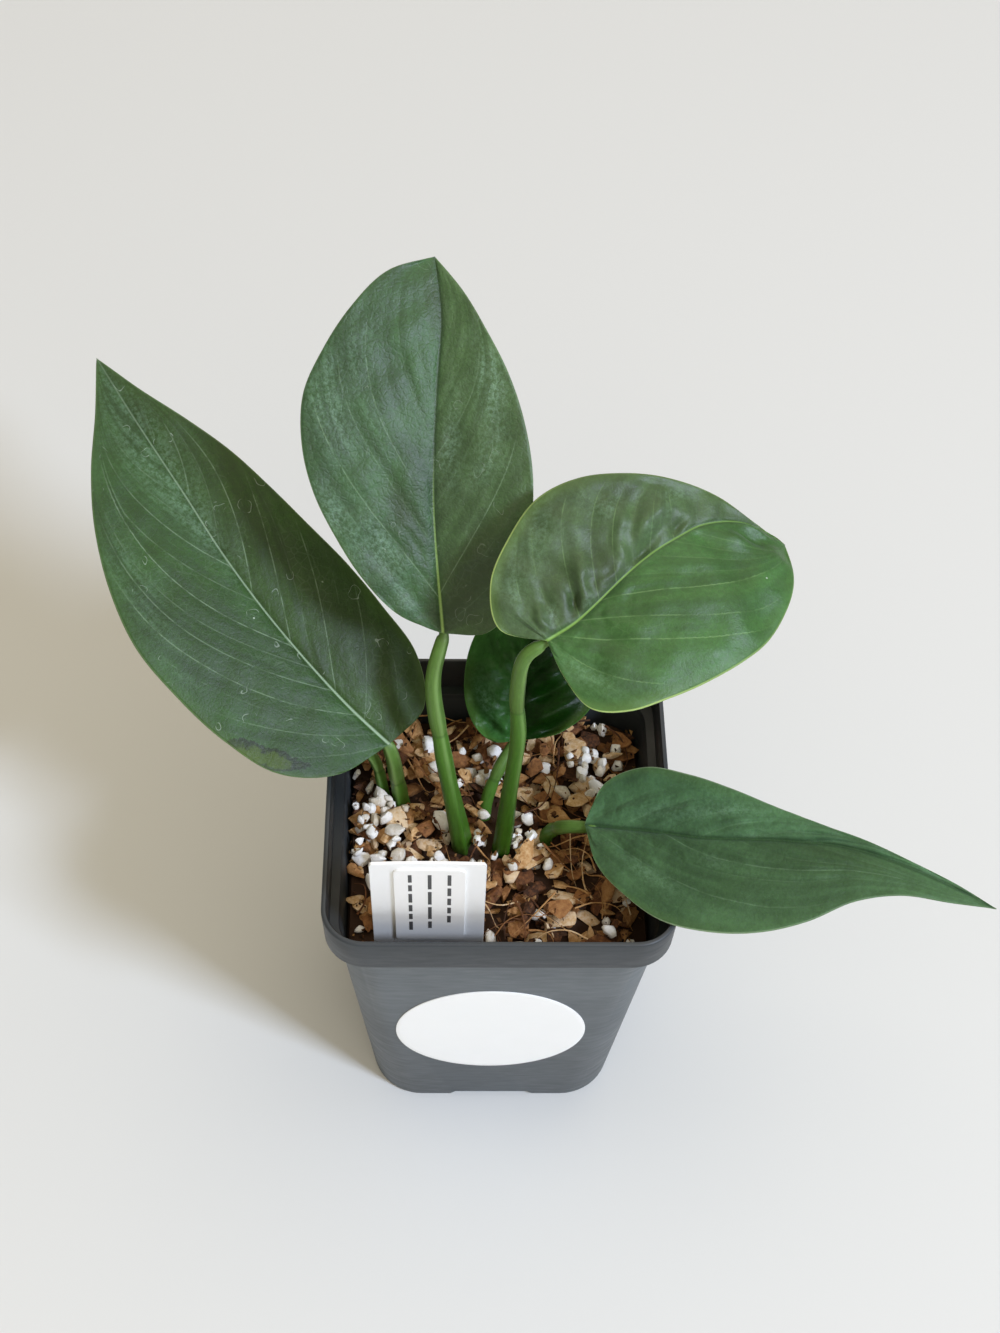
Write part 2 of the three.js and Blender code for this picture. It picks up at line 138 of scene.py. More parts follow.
def new_material(name):
    """An empty material, and what adds a node to it."""
    material = bpy.data.materials.new(name)
    material.use_nodes = True
    material.node_tree.nodes.clear()
    return material, partial(add, material.node_tree)


print("velvet green in linear light:", [round(c, 3) for c in linear("3c5f45")])

# %% [markdown]
# ## Light and floor
#
# A leaf of velvet shows best in broad, soft light: its sheen comes from the edges of many tiny domes,
# and a small hard lamp would only give it glare. A cool softbox stands in front on the right, like a
# window, so the shadow falls to the left and back with a soft edge. A wide warm softbox hangs above and
# behind, and fills that shadow on the floor. The room itself is kept darker, so that a leaf shaded by
# another stays deep in colour, and a weak lamp from the front keeps the pot's face readable. The floor
# is a wide sheet of pale matt card. The plain view transform keeps whites white, as a product
# photographer's curve does.

# %% Light the scene
scene.view_settings.view_transform = "Standard"


def softbox(name, place, size, watts, colour):
    """A square area light that faces the plant."""
    light = bpy.data.lights.new(name, "AREA")
    light.size = size
    light.energy = watts
    light.color = linear(colour)[:3]
    lamp = bpy.data.objects.new(name, light)
    scene.collection.objects.link(lamp)
    lamp.location = place
    lamp.rotation_euler = (CAMERA_AIM - Vector(place)).to_track_quat("-Z", "Y").to_euler()
    return lamp


lamps = [softbox("window_softbox", (1.87, -1.47, 2.24), 0.55, 94, "d9e6ff"),
         softbox("ceiling_softbox", (0.2, 0.8, 2.75), 3.0, 31, "fff3de"),
         softbox("front_fill", (0.1, -1.1, 1.25), 1.4, 6, "fff6e2")]

world = bpy.data.worlds.new("room")
world.use_nodes = True
world.node_tree.nodes["Background"].inputs["Color"].default_value = linear("a0988a")
scene.world = world
print("lamps in watts:", ", ".join(f"{lamp.name} {lamp.data.energy:.0f}" for lamp in lamps))

# %% [markdown]
# Matt card is pressed wood fibre without a coating. It scatters light evenly, so shadows lie soft on it
# and nothing mirrors in it, and its grey drifts a little from place to place. A plain square is enough,
# so wide that its edges lie far off like a horizon.

# %% Lay the floor
FLOOR_HALF = 8.0

card, node = new_material("matt_card")
fibre = node("TexNoise", {"Scale": 1 / (400 * MM), "Detail": 2.0})
tint = node("Mix", {0: fibre, 6: linear("d7d9d7"), 7: linear("dcdddb")}, **COLOUR)
surface = node("BsdfPrincipled", {"Base Color": tint, "Roughness": 0.9, "Specular IOR Level": 0.25})
node("OutputMaterial", [surface])

floor_mesh = bpy.data.meshes.new("floor")
corners = [(-FLOOR_HALF, -FLOOR_HALF, 0), (FLOOR_HALF, -FLOOR_HALF, 0),
           (FLOOR_HALF, FLOOR_HALF, 0), (-FLOOR_HALF, FLOOR_HALF, 0)]
floor_mesh.from_pydata(corners, [], [(0, 1, 2, 3)])
floor_mesh.materials.append(card)
floor = bpy.data.objects.new("floor", floor_mesh)
scene.collection.objects.link(floor)
floor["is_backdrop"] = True
print("floor", 2 * FLOOR_HALF, "m square")

# %% [markdown]
# ## Helpers for meshes
#
# Every piece is worked out as rows of points in millimetres. Three helpers turn them into objects. One
# makes the object, gives it its finishes and hides the imported piece it stands for. One draws a smooth
# curve through a few points. One closes two sheets of points, a face and a back, into a thin solid with
# a rounded rim, which serves for leaves, tag and labels alike.

# %% Make a piece
SAME_POINT = 1e-7  # points of a mesh that lie closer than this, in metres, are one


def make_piece(name, points, faces, materials, node, measures=None, face_material=None,
               crease=None):
    """An object from points in millimetres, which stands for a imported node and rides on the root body.

    measures: values for each point that its materials read. face_material: which material each face
    takes. crease: the angle in degrees from which an edge shows as sharp.
    """
    mesh = bpy.data.meshes.new(name)
    mesh.from_pydata((np.asarray(points) * MM).tolist(), [], [tuple(f) for f in faces])
    for key, values in (measures or {}).items():
        attribute = mesh.attributes.new(key, "FLOAT", "POINT")
        attribute.data.foreach_set("value", np.asarray(values, np.float32))
    for material in materials:
        mesh.materials.append(material)
    if face_material is not None:
        mesh.polygons.foreach_set("material_index", np.asarray(face_material, np.int32))
    solid = bmesh.new()
    solid.from_mesh(mesh)
    bmesh.ops.remove_doubles(solid, verts=solid.verts, dist=SAME_POINT)
    bmesh.ops.dissolve_degenerate(solid, edges=solid.edges, dist=SAME_POINT)
    bmesh.ops.recalc_face_normals(solid, faces=solid.faces)
    solid.to_mesh(mesh)
    solid.free()
    mesh.shade_smooth()
    if crease is not None:
        mesh.set_sharp_from_angle(angle=math.radians(crease))
    piece = bpy.data.objects.new(name, mesh)
    scene.collection.objects.link(piece)
    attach(piece, "root")
    if node:
        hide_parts(node)
    print(f"{name}: {len(mesh.polygons)} faces")


# %% Draw a smooth curve
FINE_STEPS = 400  # points along a curve from which evenly spaced ones are picked


def smooth_path(points, count, spread=0.0, even=False):
    """Points on a Catmull-Rom curve. Its knots lie the distance to the power of spread apart."""
    knots = np.array(points, float)
    knots = np.vstack([2 * knots[0] - knots[1], knots, 2 * knots[-1] - knots[-2]])
    t = np.linspace(0, len(points) - 1, FINE_STEPS if even else count)
    first = np.minimum(t.astype(int), len(points) - 2)
    part = (t - first)[:, None]
    a, b, c, d = (knots[first + i] for i in range(4))
    ab, bc, cd = (np.linalg.norm(q - p, axis=1, keepdims=True) ** spread
                  for p, q in ((a, b), (b, c), (c, d)))
    leave = bc * ((b - a) / ab - (c - a) / (ab + bc)) + (c - b)
    arrive = bc * ((d - c) / cd - (d - b) / (bc + cd)) + (c - b)
    curve = b + part * leave + part ** 2 * (3 * (c - b) - 2 * leave - arrive) \
        + part ** 3 * (2 * (b - c) + leave + arrive)
    if not even:
        return curve
    steps = np.r_[0, np.cumsum(np.linalg.norm(np.diff(curve, axis=0), axis=1))]
    wanted = np.linspace(0, steps[-1], count)
    return np.stack([np.interp(wanted, steps, curve[:, k]) for k in range(curve.shape[1])], 1)


print("a curve through three points:", smooth_path([(0, 0), (1, 1), (2, 0)], 5).round(2).tolist())

# %% Close two sheets into a thin solid
def thin_solid(face, back, round_rim=0.0):
    """A solid between two grids: its points and quads, which quads are on the back, and its rim."""
    rows, columns = face.shape[:2]
    index = np.arange(rows * columns).reshape(rows, columns)
    quads = np.stack([index[:-1, :-1], index[1:, :-1], index[1:, 1:], index[:-1, 1:]], -1).reshape(-1, 4)
    shift = rows * columns
    loop = np.r_[index[0, :-1], index[:-1, -1], index[-1, :0:-1], index[:0:-1, 0]]
    flat_face, flat_back = face.reshape(-1, 3), back.reshape(-1, 3)
    inward = np.r_[index[1, :-1], index[:-1, -2], index[-2, :0:-1], index[:0:-1, 1]]
    out = flat_face[loop] - flat_face[inward]
    out /= np.maximum(np.linalg.norm(out, axis=1, keepdims=True), 1e-6)
    middle = (flat_face[loop] + flat_back[loop]) / 2 + round_rim * out
    points = np.vstack([flat_face, flat_back, middle])
    rim = 2 * shift + np.arange(len(loop))
    following = np.roll(np.arange(len(loop)), -1)
    upper = np.stack([loop, rim, rim[following], loop[following]], 1)
    lower = np.stack([rim, loop + shift, loop[following] + shift, rim[following]], 1)
    faces = np.vstack([quads, quads[:, ::-1] + shift, upper, lower])
    on_back = np.repeat([0, 1, 0, 1], [len(quads), len(quads), len(upper), len(lower)])
    return points, faces.tolist(), on_back, loop


sample = np.zeros((3, 3, 3))
print("sheets of 3 by 3 points close into", len(thin_solid(sample, sample)[1]), "faces")

# %% [markdown]
# ## The leaf blades
#
# A real blade is one thin sheet, about half a millimetre thick. It is folded a little at its midrib,
# bends down towards its tip, and is quilted: the side veins are tied down, and the tissue between them
# swells up. A sculpted lump or a cloth simulation could give something like it. A formula gives exactly
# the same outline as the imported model, and also knows, at every point, how far it is from the midrib,
# the margin and the nearest vein. The material needs just that.
#
# Each blade is laid out flat, with u from the stalk to the tip and v to its left, in millimetres. Its
# rows fan out from the base, so the veins of the rounded lobes spring from one place as they do in life.
# A midrib is never quite straight, and rib gives how far it strays to the left along the way.

# %% The blades' outlines and bends
# base: where the blade starts. heading, rise and roll: how it is turned, in degrees. droop: how far it
# has bent down at its tip, in degrees, the later the higher droop_power is. bow and rib: how far the
# midrib strays to the left, in one arc and point by point. fold_left and fold_right: how steeply the
# halves leave the midrib, in degrees. recurve: how far the margins turn down again. wave, wave_count,
# wave_phase: height, number and start of the margins' waves. left_edge and right_edge: u and v of the
# outline.
BLADES = {
    "left": dict(
        base=(-28.5, 12.5, 109.5), heading=135, rise=35, roll=-10, length=126, droop=16,
        droop_power=1.3, bow=5, fold_left=8, fold_right=8, half_width=35, recurve=2.5, wave=0.5,
        wave_count=2.5, wave_phase=0.1,
        rib=[(0, 0), (0.13, 1.2), (0.33, 1.3), (0.51, 0.7), (0.67, -0.2), (0.87, 0), (1, 0)],
        left_edge=[(0, 0), (2, 16), (11.5, 28.5), (26, 34.5), (41.5, 37.5), (57.5, 38.5), (73, 35),
                   (88, 28.5), (101, 20), (113.5, 9.5), (126, 0)],
        right_edge=[(0, 0), (2.5, -13), (15, -19.5), (30, -19.5), (44, -18.5), (58, -16.5), (72, -14.5),
                    (85.5, -12), (99, -8), (112.5, -3.5), (126, 0)]),
    "top": dict(
        base=(-14.6, 19.8, 147), heading=94, rise=53, roll=-8, length=92, droop=20, droop_power=1.2,
        bow=1, fold_left=16, fold_right=12, half_width=31, recurve=3, wave=0.5, wave_count=2,
        wave_phase=0.3,
        rib=[(0, 0), (0.3, 0.4), (0.45, 0), (0.67, -1.2), (0.84, -2), (1, 0)],
        left_edge=[(0, 0), (5.5, 10.5), (14.5, 18.5), (24.5, 24.5), (35.5, 29.5), (47, 32), (59, 31.5),
                   (69.5, 26.5), (79.5, 19.5), (88, 11), (92, 0)],
        right_edge=[(0, 0), (0.5, -11), (8.5, -18), (19.5, -21.5), (30.5, -23), (41.5, -23), (53, -21),
                    (63.5, -17.5), (73.5, -12.5), (83, -7), (92, 0)]),
    "right": dict(
        base=(9.9, 3.4, 165), heading=19, rise=17, roll=25, length=67.5, droop=48, droop_power=1.8,
        bow=10.5, fold_left=10, fold_right=9, half_width=32, recurve=4, wave=0.5, wave_count=2.5,
        wave_phase=0.6,
        rib=[(0, 0), (0.14, -2.9), (0.31, -3), (0.55, -0.4), (0.69, 2.2), (0.85, 3.4), (0.95, 1.7),
             (1, 0)],
        left_edge=[(0, 0), (-9, 7), (-6.5, 17.5), (1.5, 25.5), (11.5, 31.5), (23, 32), (34, 28.5),
                   (44, 23), (53, 16), (60.5, 7.5), (67.5, 0)],
        right_edge=[(0, 0), (0, -9.5), (2.5, -19), (10.5, -23.5), (20.5, -24.5), (30, -24.5),
                    (39.5, -23.5), (48.5, -21), (56.5, -15.5), (63, -8.5), (67.5, 0)]),
    "back": dict(
        base=(4.4, 19.8, 101.3), heading=80, rise=42, roll=0, length=46, droop=20, droop_power=1.2,
        bow=0, fold_left=6, fold_right=12, half_width=18, recurve=3, wave=0.6, wave_count=2.5,
        wave_phase=0.2,
        rib=[(0, 0), (1, 0)],
        left_edge=[(0, 0), (-1.2, 5), (2, 10.5), (9, 14.5), (18, 15.5), (27, 14), (35.5, 9), (42, 4),
                   (46, 0)],
        right_edge=[(0, 0), (1.5, -6), (4, -12), (10, -18), (18, -20.5), (26.5, -18), (34.5, -11.5),
                    (41, -5), (46, 0)]),
    "low": dict(
        base=(22.3, -7.3, 102), heading=-22, rise=21, roll=19, length=106.5, droop=38, droop_power=1.2,
        bow=4.5, fold_left=10, fold_right=8, half_width=25, recurve=1.5, wave=0.4, wave_count=2.5,
        wave_phase=0.4,
        rib=[(0, 0), (0.17, -1.7), (0.31, -2.7), (0.5, -0.5), (0.66, 1.5), (0.9, 0.6), (1, 0)],
        left_edge=[(0, 0), (3.5, 11), (13.5, 16.5), (25.5, 16), (37, 14), (48.5, 11.5), (60.5, 9.5),
                   (72, 8), (84, 5.5), (95.5, 3), (106.5, 0)],
        right_edge=[(0, 0), (6.5, -10.5), (16, -17.5), (27, -22.5), (39, -23), (51, -20.5),
                    (61.5, -15.5), (71.5, -8), (82.5, -3.5), (94.5, -2), (106.5, 0)]),
    "hidden": dict(
        base=(-36.5, 15.5, 108), heading=140, rise=14, roll=0, length=46, droop=22, droop_power=1.2,
        bow=0, fold_left=8, fold_right=8, half_width=14, recurve=1.5, wave=0.4, wave_count=2,
        wave_phase=0,
        rib=[(0, 0), (1, 0)],
        left_edge=[(0, 0), (1, 7), (7, 12), (15, 14), (23, 12.5), (31, 9), (39, 4.5), (46, 0)],
        right_edge=[(0, 0), (1, -7), (7, -12), (15, -14), (23, -12.5), (31, -9), (39, -4.5), (46, 0)]),
}
BASE_FAN = 0.2  # the share of the rows that fan out from the base
RIGHT_WAVE_SHIFT = 1.3  # how far the right margin's waves lie from the left's, in radians
print("blades:", ", ".join(f"{name} {blade['length']} mm" for name, blade in BLADES.items()))

# %% [markdown]
# How the veins run and how strongly the blade is quilted differ from leaf to leaf: the round right leaf
# is young and full of puckers, the large left one has hardened almost flat and shows its pale veins best.
# A vein leaves the midrib at a slant and bends forward until it runs along the margin. In the rows'
# own measure that is a share of the way across, plus a cube of it. Counting the veins from the base up
# gives each point of a blade a course, which is whole on a vein and a half midway between two.

# %% The blades' veins
# left and right: side veins from the base up, each with the row where it leaves the midrib, its slant,
# its sweep, and how clearly it shows. quilt: how far the tissue swells between veins, in mm, left and
# right. folds: the depth of the irregular folds beside the midrib, in mm. dents: single puckers, each
# with its row, column, size along both, and height in mm. painted_sheen_shade: patches of painted
# sheen, where the colour is silvered as a painted highlight, and, where the strength is negative, of
# painted shade, mostly the shadow of a neighbouring leaf.
VEINS = {
    "left": dict(
        left=[(0.195, 0.02, 0.05, 0.3), (0.225, 0.06, 0.12, 0.5), (0.27, 0.13, 0.28, 0.8),
              (0.325, 0.2, 0.25, 0.7), (0.375, 0.24, 0.2, 0.4), (0.42, 0.29, 0.24, 1),
              (0.515, 0.27, 0.05, 0.5), (0.585, 0.27, 0.08, 0.8), (0.655, 0.25, 0.08, 0.25),
              (0.71, 0.22, 0.05, 0.6), (0.79, 0.2, 0.05, 0.3), (0.87, 0.15, 0.05, 0.2)],
        right=[(0.19, 0.03, 0.1, 0.3), (0.255, 0.06, 0.08, 0.5), (0.32, 0.17, 0.06, 0.8),
               (0.375, 0.2, 0.1, 0.2), (0.43, 0.22, 0.03, 0.8), (0.53, 0.2, 0.2, 1),
               (0.62, 0.2, 0.15, 0.25), (0.71, 0.16, 0.1, 0.7), (0.8, 0.15, 0.1, 0.3),
               (0.88, 0.12, 0.05, 0.2)],
        painted_sheen_shade=[(0.6, 0.8, 0.08, 0.15, 0.5), (0.42, 0.8, 0.08, 0.15, 0.5), (0.86, 0.1, 0.16, 0.8, 0.55),
               (0.68, 0.05, 0.1, 0.25, 0.6), (0.6, 0.38, 0.08, 0.2, -0.6),
               (0.39, -0.55, 0.12, 0.3, -1.1), (0.34, 0.5, 0.08, 0.3, -1.0),
               (0.43, 0.1, 0.08, 0.2, -0.8)],
        quilt=(0.12, 0.1), groove=0.35, uneven=0.1, folds=0.12, dents=[]),
    "top": dict(
        left=[(0.2, 0.07, 0.12, 0.3), (0.275, 0.24, 0.13, 1), (0.33, 0.28, 0.1, 0.1),
              (0.385, 0.32, 0.05, 0.5), (0.46, 0.36, 0.1, 0.7), (0.53, 0.38, 0.1, 0.15),
              (0.61, 0.4, 0.05, 0.35), (0.7, 0.38, 0, 0.15), (0.79, 0.35, 0, 0.15),
              (0.87, 0.3, 0, 0.1)],
        right=[(0.215, 0.06, 0.08, 0.3), (0.285, 0.25, 0.08, 1), (0.38, 0.25, 0.1, 0.1),
               (0.47, 0.25, 0.1, 0.2), (0.575, 0.2, 0.1, 0.6), (0.67, 0.2, 0.1, 0.15),
               (0.76, 0.2, 0.1, 0.15), (0.85, 0.2, 0.05, 0.1)],
        painted_sheen_shade=[(0.3, 0.5, 0.08, 0.17, 2.2), (0.33, 0.85, 0.08, 0.15, 1.2), (0.6, 0.4, 0.08, 0.12, 0.3),
               (0.62, 0.8, 0.14, 0.2, 1.0), (0.6, -0.2, 0.09, 0.12, 1.0), (0.53, -0.6, 0.05, 0.2, 0.6),
               (0.7, -0.75, 0.08, 0.2, 1.3), (0.45, 0.26, 0.06, 0.12, -1.7),
               (0.9, 0.1, 0.07, 0.4, -1.7), (0.3, -0.35, 0.09, 0.4, -2.2),
               (0.22, -0.05, 0.05, 0.15, -1.5)],
        quilt=(0.16, 0.2), groove=0.55, uneven=0.22, folds=0.15,
        dents=[(0.5, 0.14, 0.05, 0.14, 0.5), (0.6, 0.35, 0.04, 0.2, 0.5), (0.27, 0.4, 0.04, 0.3, -0.5),
               (0.58, -0.15, 0.04, 0.14, -0.5), (0.36, -0.5, 0.05, 0.25, 0.4),
               (0.8, 0.3, 0.06, 0.3, 0.5)]),
    "right": dict(
        left=[(0.16, 0, 0.02, 0.3), (0.205, 0, 0.14, 0.4), (0.25, 0.05, 0.1, 0.3),
              (0.31, 0.12, 0.06, 0.7), (0.38, 0.15, 0.04, 0.5), (0.445, 0.14, 0.04, 0.7),
              (0.51, 0.12, 0.04, 0.2), (0.57, 0.1, 0, 0.4), (0.65, 0.03, 0, 0.5), (0.73, 0.02, 0, 0.2),
              (0.82, 0, 0, 0.2)],
        right=[(0.17, 0.04, 0.05, 0.2), (0.205, 0.09, 0.17, 0.8), (0.225, 0.36, 0.2, 1),
               (0.3, 0.44, 0.15, 0.7), (0.38, 0.58, 0.3, 1), (0.47, 0.55, 0.3, 0.2),
               (0.56, 0.5, 0.2, 0.4), (0.64, 0.4, 0.2, 0.3), (0.71, 0.3, 0.2, 0.5),
               (0.8, 0.25, 0.1, 0.2)],
        painted_sheen_shade=[(0.54, 0.66, 0.05, 0.12, 0.8), (0.6, 0.29, 0.02, 0.1, 0.6), (0.65, 0.4, 0.02, 0.1, 0.4),
               (0.53, 0.4, 0.03, 0.12, -0.6), (0.26, -0.54, 0.07, 0.25, 0.5),
               (0.36, 0.79, 0.1, 0.2, 0.6), (0.22, 0.71, 0.04, 0.2, 0.6), (0.26, 0.2, 0.02, 0.1, 0.7),
               (0.34, 0.05, 0.04, 0.06, 0.5), (0.88, -0.17, 0.03, 0.12, 0.9),
               (0.68, 0.7, 0.04, 0.15, 0.6), (0.79, -0.68, 0.05, 0.2, 0.4),
               (0.325, 0.14, 0.018, 0.07, -1), (0.55, 0.05, 0.04, 0.06, -1),
               (0.3, 0.38, 0.02, 0.1, -0.5), (0.59, 0.76, 0.05, 0.1, -0.5),
               (0.3, -0.31, 0.03, 0.1, -0.7), (0.23, 0.35, 0.012, 0.1, -0.6),
               (0.73, -0.45, 0.1, 0.22, -1.1), (0.84, -0.45, 0.06, 0.3, -0.9)],
        quilt=(0.55, 0.2), groove=0.6, uneven=0.4, folds=0.5,
        dents=[(0.325, 0.14, 0.02, 0.09, -2.0), (0.365, 0.2, 0.02, 0.14, 1.3),
               (0.55, 0.07, 0.04, 0.1, -2.0), (0.5, 0.3, 0.025, 0.2, 1.3), (0.6, 0.36, 0.04, 0.18, 1.8),
               (0.67, 0.14, 0.02, 0.1, -1.1), (0.23, 0.25, 0.015, 0.2, 0.7),
               (0.3, -0.38, 0.03, 0.1, -0.6), (0.33, -0.75, 0.03, 0.12, 0.5),
               (0.72, -0.1, 0.02, 0.12, -0.9), (0.8, -0.2, 0.03, 0.12, 1.2),
               (0.86, -0.3, 0.02, 0.15, -1.1), (0.9, -0.15, 0.02, 0.15, 1.1)]),
    "back": dict(
        left=[(0.2, 0.05, 0.1, 0.5), (0.3, 0.15, 0.1, 0.5), (0.42, 0.2, 0.1, 0.5),
              (0.55, 0.2, 0.1, 0.5), (0.7, 0.2, 0.1, 0.4)],
        right=[(0.22, 0.05, 0.1, 0.5), (0.36, 0.2, 0.1, 0.6), (0.5, 0.22, 0.1, 0.6),
               (0.68, 0.2, 0.1, 0.4)],
        painted_sheen_shade=[(0.42, -0.55, 0.15, 0.3, -0.8), (0.35, 0.6, 0.1, 0.25, 0.5)],
        quilt=(1.0, 1.3), groove=0.9, uneven=0.7, folds=0.6,
        dents=[(0.33, -0.5, 0.045, 0.22, 1.6), (0.43, -0.62, 0.03, 0.16, -1.2),
               (0.5, -0.42, 0.05, 0.18, 1.3), (0.26, -0.75, 0.03, 0.14, -1.1),
               (0.38, 0.45, 0.05, 0.2, 1.0), (0.27, 0.6, 0.03, 0.2, -0.8)]),
    "low": dict(
        left=[(0.2, 0.08, 0.06, 0.3), (0.27, 0.1, 0.08, 0.4), (0.35, 0.1, 0.1, 0.3),
              (0.43, 0.1, 0.1, 0.5), (0.52, 0.12, 0.1, 0.3), (0.62, 0.12, 0.1, 0.3),
              (0.73, 0.12, 0.1, 0.2)],
        right=[(0.16, 0.1, 0.1, 0.3), (0.2, 0.2, 0.4, 0.8), (0.28, 0.28, 1.2, 0.3), (0.36, 0.3, 2.4, 1),
               (0.5, 0.3, 2.4, 0.3), (0.64, 0.3, 2, 0.3), (0.76, 0.2, 1, 0.2)],
        painted_sheen_shade=[(0.33, 0.35, 0.05, 0.15, 0.5), (0.43, 0.65, 0.04, 0.2, 0.6),
               (0.53, 0.11, 0.03, 0.1, 0.5), (0.61, -0.15, 0.03, 0.08, 0.5),
               (0.31, -0.51, 0.05, 0.15, 0.5), (0.45, -0.28, 0.03, 0.1, 0.4),
               (0.72, -0.3, 0.14, 0.5, -1.1), (0.49, 0.35, 0.04, 0.15, -0.5),
               (0.47, -0.56, 0.08, 0.2, -0.4)],
        quilt=(0.55, 0.35), groove=0.8, uneven=0.2, folds=0.35,
        dents=[(0.27, 0.35, 0.025, 0.14, 0.6), (0.32, 0.2, 0.02, 0.12, -0.5),
               (0.36, 0.4, 0.025, 0.15, 0.5), (0.41, 0.22, 0.02, 0.12, -0.6),
               (0.44, 0.35, 0.02, 0.15, 0.5), (0.52, 0.25, 0.03, 0.15, -0.4)]),
    "hidden": dict(
        left=[(0.2, 0.05, 0.1, 0.5), (0.34, 0.2, 0.1, 0.6), (0.5, 0.2, 0.1, 0.6),
              (0.68, 0.2, 0.1, 0.4)],
        right=[(0.2, 0.05, 0.1, 0.5), (0.34, 0.2, 0.1, 0.6), (0.5, 0.2, 0.1, 0.6),
               (0.68, 0.2, 0.1, 0.4)],
        painted_sheen_shade=[(0.5, 0.5, 0.1, 0.3, 0.4)],
        quilt=(0.25, 0.25), groove=0.5, uneven=0.1, folds=0.12, dents=[]),
}
print("veins drawn:", sum(len(veins["left"]) + len(veins["right"]) for veins in VEINS.values()))

# %% [markdown]
# Two fields tell a point of a blade where it is among the veins: its course, and how many millimetres one
# step of the course takes up there. The second turns a distance in courses into one in millimetres, so a
# vein keeps its width where its neighbours spread apart.

# %% Follow the veins
VEIN_MERGE = 0.02  # the least distance in rows that veins keep where they run together at the margin
FIRST_ROW, LAST_ROW = -0.4, 1.4  # where the course starts and ends, beyond the blade


def eased(x, low, high):
    """0 below low, 1 above high, and a smooth step between."""
    t = np.clip((x - low) / (high - low), 0, 1)
    return t * t * (3 - 2 * t)


def vein_field(veins, s, k):
    """The course of each point of a blade, and how clearly the nearest vein shows there."""
    course, show = np.empty((2, len(s), len(k)))
    for j, column in enumerate(k):
        side = veins["left" if column > 0 else "right"]
        span = abs(column)
        path = [FIRST_ROW]
        for start, slant, sweep, _ in side:
            path.append(max(start + slant * span + sweep * span ** 3, path[-1] + VEIN_MERGE))
        path.append(max(LAST_ROW, path[-1] + 0.1))
        course[:, j] = np.interp(s, path, np.arange(len(path)))
        show[:, j] = np.interp(course[:, j], np.arange(len(path)), [0, *(vein[3] for vein in side), 0])
    return course, show


def vein_gap(course, u, v):
    """How many millimetres of blade lie in one step of the course."""
    (du_s, du_k), (dv_s, dv_k), (dc_s, dc_k) = (np.gradient(field) for field in (u, v, course))
    area = du_s * dv_k - du_k * dv_s
    area = np.where(np.abs(area) < 1e-6, 1e-6, area)
    slope = np.hypot(dc_s * dv_k - dc_k * dv_s, dc_k * du_s - dc_s * du_k) / np.abs(area)
    return np.clip(1 / np.maximum(slope, 1e-3), 0.5, 40)


print("half way from 0 to 1 is eased to", eased(0.5, 0, 1))

# %% [markdown]
# The tissue between two veins grows faster than the veins do, so it has to swell, and near the midrib
# it folds as well. Regular pillows would look like upholstery, so waves in random directions make them
# rise and sink, and bend the folds. The strongest puckers of each leaf are set one by one.

# %% Quilt a blade
SWELL_MM = 22  # the lengths of the waves that vary the swellings, the surface and the folds
UNEVEN_MM = 11
FOLD_MM = 8
FOLD_WANDER = 0.4  # how far a fold strays from the middle between two veins, in steps of their course


def random_waves(seed, u, v, length):
    """A smooth uneven field about 1 high, from waves of about this length in random directions."""
    waves = random.Random(seed)
    total = np.zeros_like(u)
    for _ in range(10):
        angle, phase = waves.uniform(0, math.pi), waves.uniform(0, 2 * math.pi)
        pitch = length * waves.uniform(0.6, 1.7)
        total += np.sin(2 * math.pi * (u * math.cos(angle) + v * math.sin(angle)) / pitch + phase)
    return total / 3


def patches(spots, s, k):
    """The sum of soft round patches, each with its row, column, size along both, and strength."""
    span = np.abs(k)
    return sum(strength * np.exp(-((s - row - 0.15 * (span - abs(column))) / along) ** 2
                                 - ((k - column) / across) ** 2)
               for row, column, along, across, strength in spots) + 0 * s


def quilting(veins, course, s, k, u, v, off_rib):
    """The height of the swellings between veins, of a general unevenness, of folds and single puckers."""
    span = np.abs(k)
    between = np.abs(np.sin(math.pi * course)) ** 1.2 - 0.5
    strength = np.where(k > 0, *veins["quilt"]) * (0.8 + 0.6 * random_waves(5, u, v, SWELL_MM))
    inner = eased(span, 0.02, 0.16) * (1 - eased(span, 0.4, 0.95))
    inner = inner * eased(s, 0.02, 0.2) * (1 - eased(s, 0.85, 1))

    uneven = veins["uneven"] * random_waves(8, u, v, UNEVEN_MM)
    uneven = uneven * eased(span, 0.05, 0.3) * (1 - eased(span, 0.85, 1))

    strays = course + FOLD_WANDER * random_waves(12, u, v, FOLD_MM)
    beside_rib = eased(off_rib, 0.3, 2.5) * (1 - eased(off_rib, 1, 14))
    beside_rib = beside_rib * eased(s, 0.05, 0.2) * (1 - eased(s, 0.45, 0.75))
    folds = veins["folds"] * beside_rib * (0.5 - 0.5 * np.cos(2 * math.pi * strays))

    puckers = patches(veins["dents"], s, k) * eased(span, 0.0, 0.06)
    return strength * inner * between + uneven + folds + puckers


print("single puckers:", sum(len(veins["dents"]) for veins in VEINS.values()))

# %% [markdown]
# The bend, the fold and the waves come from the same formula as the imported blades. On top of them come
# the quilting, small folds that run out from the midrib between two veins, a groove over the midrib and
# a round keel under it, and the thinning of the sheet towards its margin. Folds in the mesh catch the
# light from every side, where a bump in the material would fall flat at the leaf's edge.

# %% Bend a blade
THICKNESS = 0.75
RIM_THICKNESS = 0.42
GROOVE_HALF_WIDTH = 0.7
KEEL_DEPTH = 1.5
KEEL_HALF_WIDTH = 1.2
RIB_STEPS = 80
BEND_STEPS = 600
BRUISE = (0.245, 0.9, 0.045, 0.17, 1.0)  # a damaged patch at the left leaf's margin


def blade_turn(blade):
    """The rotation of a blade as a 3 by 3 array."""
    roll, rise, heading = (math.radians(blade[key]) for key in ("roll", "rise", "heading"))
    tipped = Matrix.Rotation(heading, 3, "Z") @ Matrix.Rotation(-rise, 3, "Y")
    return np.array(tipped @ Matrix.Rotation(roll, 3, "X"))


